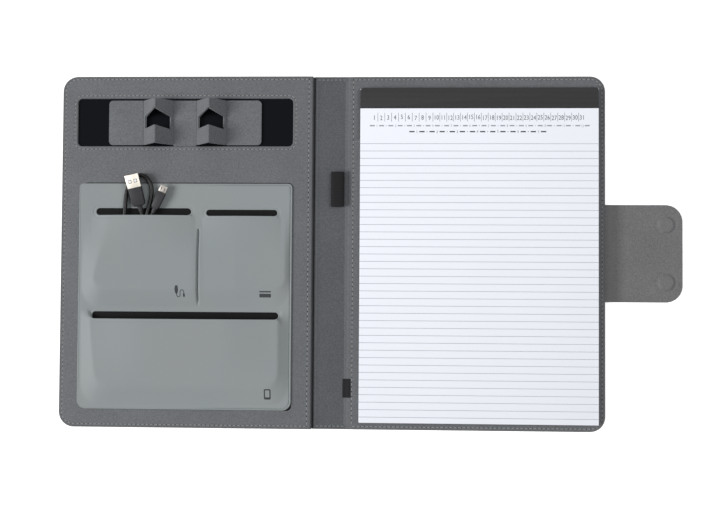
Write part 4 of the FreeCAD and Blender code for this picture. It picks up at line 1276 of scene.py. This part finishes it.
class FOLIO_OT_flap(bpy.types.Operator):
    """Closing flap: two layers of cloth with covered magnets, and its two folds"""
    bl_idname = "folio.flap"
    bl_label = "Closing flap"

    ROUND, MAGNET = 15.0, 6.0                   # radius of the tip's corners, of its magnets

    def edge(self, t):
        """Cut edge with a seam between its layers, as (inset, height)."""
        return np.array([(3.0, 0), (0.9, 0), (0.3, 0.03), (0.06, 0.2), (0.0, 0.42 * t),
                         (0.09, 0.5 * t), (0.0, 0.58 * t), (0.06, t - 0.2), (0.3, t - 0.03),
                         (0.9, t), (3.0, t)])

    def band(self, xs, dip):
        """Closed band across the flap: edge profile at both sides, carried along x."""
        (_, y0, _), (_, y1, t) = span("flap_riser")
        rows = []
        for x, d in zip(xs, dip):
            e = self.edge(t - d)
            y = np.concatenate([(y0 + e[:, 0]), [0.0], (y1 - e[::-1, 0]), [0.0]])
            z = np.concatenate([e[:, 1], [t - d], e[::-1, 1], [0.0]])
            rows.append(np.column_stack([np.full(len(y), x), y, z]))
        return Shape().grid(np.stack(rows), (False, True), (0, -1), flip=True)

    def execute(self, context):
        root, tipf = AXIS["flap_root_fold"][0], AXIS["flap_tip_fold"][0]
        (_, y0, _), (end, y1, _) = span("flap_tip_skin")
        t = span("flap_riser")[1][2]
        a, b, c = root + 8.2, tipf - 2.2, tipf + 2.2
        ramp = lambda x: (BACK_T - t) * np.clip((a - x) / (a - root + 3.4), 0, 1)
        # painted shade: the riser's first part and the root strip are darker near the root
        riser = self.band(np.linspace(a, b, 4), np.zeros(4)).make(
            "flap_riser_cloth", finish("flap root shade"), slot="melange_cover")
        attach(riser, "flap_riser")
        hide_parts("flap_riser")
        anchor = softened("flap_anchor", "flap_anchor_cloth", finish("outer"), 0.1, 1)
        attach(anchor, "back_cover")
        for name, fold, lo, hi, pair, depth, key in (
                ("flap_root", root, root - 3.4, a, ("back_cover", "flap_riser"), 0.12, "flap root shade"),
                ("flap_bend", tipf, b, c, ("flap_riser", "flap_tip"), 0.05, "outer")):
            xs = np.linspace(lo, hi, 25)
            piece = self.band(xs, depth * np.exp(-((xs - fold) / 0.8) ** 2) - ramp(xs)).make(
                name, finish(key), slot="melange_cover")
            (fold - 1.8) * MM
            (fold + 1.8) * MM
            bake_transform(piece)
        # tip: outer layer, then the lining pressed up over two magnets
        r = self.ROUND
        skin = plate(c, end, y0, y1, (r, r, 0, 0), 0.0, 0.8, 0.12, 14).make(
            "flap_tip_cloth", finish("outer"), slot="melange_cover")
        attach(skin, "flap_tip")
        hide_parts("flap_tip_skin")
        near = np.array([0, 0.06, 0.15, 0.3, 0.6, 1.2])
        xs = np.concatenate([c + np.linspace(0, end - c - 1.8, 58), (end - near)[::-1]])
        ys = np.concatenate([y0 + near, np.linspace(y0 + 1.9, y1 - 1.9, 150), (y1 - near)[::-1]])
        y, x = np.meshgrid(ys, xs, indexing="ij")
        away = np.minimum(end - x, np.minimum(y - y0, y1 - y))
        for edge, inward in ((y0, 1), (y1, -1)):
            x, y = pressed(x, y, (end, edge), r, (-1, inward))
        z = t - 0.25 * np.clip(1 - away / 0.3, 0, 1) ** 2
        (mx0, my0, _), (mx1, my1, _) = span("flap_magnets")
        for my in (my0 + self.MAGNET, my1 - self.MAGNET):
            d = np.hypot(x - 0.5 * (mx0 + mx1), y - my)
            z = z + 1.2 * (1 - smooth((d - 5.5) / 2.5)) - 0.2 * np.exp(-((d - 9.0) / 0.8) ** 2)
            z = z + 0.1 * np.exp(-((d - 10.2) / 0.9) ** 2)
        lining = Shape().grid(np.stack([x, y, z], -1)).make(
            "flap_tip_sheet", finish("outer"), wall=0.76, slot="melange_lining")
        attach(lining, "flap_tip")
        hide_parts("flap_tip_lining")
        return {"FINISHED"}


class FOLIO_OT_stitching(bpy.types.Operator):
    """All sewn seams, each stitch a small arched thread between two needle holes"""
    bl_idname = "folio.stitching"
    bl_label = "Stitching"

    def stitch(self, pitch):
        """One stitch: a six-sided thread of four rings, bowed up and dipping at its ends,
        as long in proportion at any pitch."""
        s = sizes()
        half, r = 0.5 * pitch * s.stitch_length / s.stitch_pitch, 500 * s.thread
        u = np.array([-1.0, -0.62, 0.62, 1.0])
        a = np.linspace(0, 2 * np.pi, 6, endpoint=False)
        lift = np.array([-0.26, 0.0, 0.0, -0.26])
        k = np.array([0.55, 1.0, 1.0, 0.55])
        p = np.stack([np.column_stack([np.full(6, half * ui), r * ki * np.cos(a),
                                       0.75 * r * ki * np.sin(a) + li])
                      for ui, ki, li in zip(u, k, lift)])
        return p.reshape(-1, 3), quads(4, 6, False, True).tolist()

    def hole(self, pitch):
        """A needle hole: a flat six-sided spot of near-black painted shade, wider where the stitches
        are longer.
        """
        a = np.linspace(0, 2 * np.pi, 6, endpoint=False)
        k = (pitch / 4.0) ** 3
        ring = np.column_stack([0.54 * k * np.cos(a), 0.42 * k * np.sin(a), np.zeros(6)])
        return ring, [list(range(6))]

    def sew(self, shapes, line, pitch=None, closed=False, down=False, skip=None):
        """Stitches along a line of (x, y, z) spaced by its length; down turns them over."""
        line = np.asarray(line, float)
        if closed:
            line = np.concatenate([line, line[:1]])
        step = np.linalg.norm(np.diff(line, axis=0), axis=1)
        at = np.concatenate([[0], np.cumsum(step)])
        pitch = pitch or 1000 * sizes().stitch_pitch
        n = max(1, int(round(at[-1] / pitch)))
        s = (np.arange(n) + 0.5) * at[-1] / n
        pick = lambda t: np.column_stack([np.interp(t, at, line[:, k]) for k in range(3)])
        place = pick(s)
        way = pick(np.minimum(s + 0.4, at[-1])) - pick(np.maximum(s - 0.4, 0))
        way /= np.linalg.norm(way, axis=1)[:, None]
        up = np.tile([0.0, 0.0, -1.0 if down else 1.0], (n, 1))
        if skip is not None:
            ok = ~skip(place)
            place, way, up = place[ok], way[ok], up[ok]
        across = np.cross(up, way)
        shapes[0].copies(*self.stitch(pitch), place + up * 0.08, way, across, up)
        far = place + way * 0.5 * pitch
        shapes[1].copies(*self.hole(pitch), far + up * (0.12 if down else 0.1), way, across, up)

    def execute(self, context):
        inset = 1000 * sizes().stitch_inset
        seams = {body: (Shape(), Shape()) for body in ("front_cover", "spine", "back_cover")}
        lift = lambda xy, z: np.column_stack([xy, np.full(len(xy), z)])
        for body, fold, far, t in (("front_cover", FOLD_FRONT - 4.4, LEFT, FRONT_T),
                                   ("back_cover", BACK_SEAM, RIGHT, BACK_T)):
            path = cover_path(fold, far, inset)
            for z, down in ((t - 0.14, False), (0.29, True)):
                covered = body == "back_cover" and not down     # by the notepad's pocket
                under = (lambda p: p[:, 1] < SHEET[1][1] + 0.5) if covered else None
                self.sew(seams[body], lift(path, z), down=down, skip=under)
                seam = np.array([[fold, -TOP + inset, z], [fold, TOP - inset, z]])
                self.sew(seams[body], seam, pitch=4.4, down=down, skip=under)
        for y in (-TOP + inset, TOP - inset):
            for z, down in ((SPINE_T - 0.14, False), (0.29, True)):
                line = [[SPINE_CUT[0] - 0.6, y, z], [SPINE_CUT[1] + 0.6, y, z]]
                self.sew(seams["spine"], line, down=down)
        rim = loop(*RECESS, (4, 4, 4, 4), -2.7, 8)
        self.sew(seams["front_cover"], lift(rim, FRONT_T - 0.14), pitch=3.8, closed=True)
        (_, y0, _), (_, y1, _) = SHEET
        z = BACK_T + 0.8 - 0.1
        hem_line = [[BACK_SEAM + 1.5, y1 - 2.4, z], [BACKING[0][0] - 0.5, y1 - 2.4, z + 0.2]]
        self.sew(seams["back_cover"], hem_line, pitch=1.9)
        self.sew(seams["back_cover"], lift(cover_path(BACK_SEAM, RIGHT, inset), z),
                 skip=lambda p: p[:, 1] > SHEET[1][1] - 1.0)
        self.sew(seams["back_cover"], [[BACK_SEAM, y0 + 3, z], [BACK_SEAM, y1 - 1, z]], pitch=4.2)
        for body, (threads, holes) in seams.items():
            for shape, key, name in ((threads, "thread", "stitches"),
                                     (holes, "hole", "needle_holes")):
                piece = shape.make("%s_%s" % (body.split("_")[0], name), finish(key),
                                   sharp=60, slot="melange_lining")
                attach(piece, body)
        return {"FINISHED"}


class FOLIO_OT_inner_parts(bpy.types.Operator):
    """Finishes of the parts kept as they are in the frame: boards, module and magnets"""
    bl_idname = "folio.inner_parts"
    bl_label = "Inner parts"

    FINISHES = {
        "front_board": "board", "spine_board": "board", "back_board": "board",
        "keeper_magnets": "magnet", "flap_magnets": "magnet", "stand_left_magnets": "magnet",
        "stand_right_magnets": "magnet", "charge_surface": "inlay", "steel_plates": "steel",
        "module_base": "module", "module_lid": "module", "ferrite_sheet": "ferrite",
        "charging_coil": "copper", "circuit_board": "circuit", "power_chip": "chip",
        "board_capacitors": "capacitor", "input_socket": "socket",
    }

    def execute(self, context):
        for node, key in self.FINISHES.items():
            data = NODES[node].data
            data.materials.clear()
            data.materials.append(finish(key))
        for node, obj in NODES.items():
            if not obj.hide_render and node not in self.FINISHES:
                raise RuntimeError("no finish for " + node)
        return {"FINISHED"}


def shown(tree):
    """1 on the rays that see the white background: camera, glossy and transmission rays."""
    path = tree.nodes.new("ShaderNodeLightPath")
    seen = path.outputs["Is Camera Ray"]
    for kind in ("Is Glossy Ray", "Is Transmission Ray"):
        add = tree.nodes.new("ShaderNodeMath")
        tree.links.new(seen, add.inputs[0])
        tree.links.new(path.outputs[kind], add.inputs[1])
        seen = add.outputs[0]
    return seen


class FOLIO_OT_stage(bpy.types.Operator):
    """Pale floor, soft lamps and the camera above the open folio"""
    bl_idname = "folio.stage"
    bl_label = "Stage"

    LAMPS = (("key", (-7.20, -1.00, 5.40), 4.6, 862), ("fill", (1.1, 0.3, 2.0), 1.6, 24))
    CAMERA = (0.042390, -0.038103, 1.068452)
    TURNS = (("Z", -0.0048173), ("Y", -0.0470454), ("X", -0.0347419))
    HALF, FLOOR = 2500.0, -0.2                  # the floor's half width and its height

    def lamp(self, name, place, size, power):
        """A round lamp at the place, in metres, turned towards the folio's middle."""
        data = bpy.data.lights.new(name, "AREA")
        data.shape, data.size, data.energy = "DISK", size, power
        obj = bpy.data.objects.new(name, data)
        bpy.context.scene.collection.objects.link(obj)
        z = np.array(place, float)
        z /= np.linalg.norm(z)
        x = np.cross([0, 1, 0] if abs(z[2]) > 0.95 else [0, 0, 1], z)
        x /= np.linalg.norm(x)
        m = Matrix.Identity(4)
        for i in range(3):
            m[i][0], m[i][1], m[i][2], m[i][3] = x[i], np.cross(z, x)[i], z[i], place[i]
        obj.matrix_world = m

    def execute(self, context):
        shape = Shape().grid(np.array([[(x, y, self.FLOOR) for x in (-self.HALF, self.HALF)]
                                       for y in (-self.HALF, self.HALF)]), flip=True)
        f = Finish("pale_floor", Roughness=0.9, Specular_IOR_Level=0.1)
        grain = f.noise(30, 2.0)
        f.paint(f.between(grain, (0.80, 0.80, 0.80), (0.82, 0.82, 0.82)))
        glow = f.node("ShaderNodeEmission", {}, {0: (1, 1, 1), 1: 0.6})
        both = f.node("ShaderNodeAddShader", {}, {0: Wire(f, f.shader.outputs[0]), 1: glow})
        mix = f.node("ShaderNodeMixShader", {}, {0: Wire(f, shown(f.tree)),
                                                 1: Wire(f, f.shader.outputs[0]), 2: both})
        out = [n for n in f.tree.nodes if n.type == "OUTPUT_MATERIAL"][0]
        f.tree.links.new(mix.socket, out.inputs[0])
        floor = shape.make("floor", f.material)
        world = bpy.data.worlds.new("studio")
        context.scene.world = world
        world.use_nodes = True
        nodes, links = world.node_tree.nodes, world.node_tree.links
        nodes.clear()
        soft, white = nodes.new("ShaderNodeBackground"), nodes.new("ShaderNodeBackground")
        soft.inputs[0].default_value, soft.inputs[1].default_value = (0.96, 0.98, 1, 1), 0.2
        white.inputs[0].default_value, white.inputs[1].default_value = (1, 1, 1, 1), 1.0
        mixer, end = nodes.new("ShaderNodeMixShader"), nodes.new("ShaderNodeOutputWorld")
        links.new(shown(world.node_tree), mixer.inputs[0])
        links.new(soft.outputs[0], mixer.inputs[1])
        links.new(white.outputs[0], mixer.inputs[2])
        links.new(mixer.outputs[0], end.inputs[0])
        for lamp in self.LAMPS:
            self.lamp(*lamp)
        camera = bpy.data.cameras.new("camera")
        camera.lens, camera.sensor_width, camera.clip_start = 60.0, 36.0, 0.01
        obj = bpy.data.objects.new("camera", camera)
        context.scene.collection.objects.link(obj)
        turn = Matrix.Identity(4)
        for axis, angle in self.TURNS:
            turn = turn @ Matrix.Rotation(angle, 4, axis)
        obj.matrix_world = Matrix.Translation(self.CAMERA) @ turn.transposed()
        context.scene.camera = obj
        context.scene.view_settings.view_transform = "Standard"
        return {"FINISHED"}


class FOLIO_PT_panel(bpy.types.Panel):
    """Folio pieces in the sidebar"""
    bl_label = "Charging folio"
    bl_space_type = "VIEW_3D"
    bl_region_type = "UI"
    bl_category = "Folio"

    def draw(self, context):
        for group in (context.scene.folio_sizes, context.scene.folio_colours):
            column = self.layout.column()
            for key in group.__annotations__:
                column.prop(group, key)
        for piece in PIECES:
            self.layout.operator(piece.bl_idname)


PIECES = (FOLIO_OT_covers, FOLIO_OT_spine, FOLIO_OT_stand, FOLIO_OT_pockets, FOLIO_OT_lead,
          FOLIO_OT_back_pocket, FOLIO_OT_notepad, FOLIO_OT_pen_loop, FOLIO_OT_flap,
          FOLIO_OT_stitching, FOLIO_OT_inner_parts, FOLIO_OT_stage)
CLASSES = (FolioSizes, FolioColours) + PIECES + (FOLIO_PT_panel,)


def register():
    """Adds the classes and the two groups of settings to Blender."""
    for cls in CLASSES:
        bpy.utils.register_class(cls)
    bpy.types.Scene.folio_sizes = PointerProperty(type=FolioSizes)
    bpy.types.Scene.folio_colours = PointerProperty(type=FolioColours)


def unregister():
    """Takes the settings and the classes out again."""
    del bpy.types.Scene.folio_sizes, bpy.types.Scene.folio_colours
    for cls in reversed(CLASSES):
        bpy.utils.unregister_class(cls)


def main():
    """Makes every piece in order."""
    register()
    for piece in PIECES:
        group, name = piece.bl_idname.split(".")
        getattr(getattr(bpy.ops, group), name)()
    bpy.context.view_layer.update()


if __name__ == "__main__":
    main()
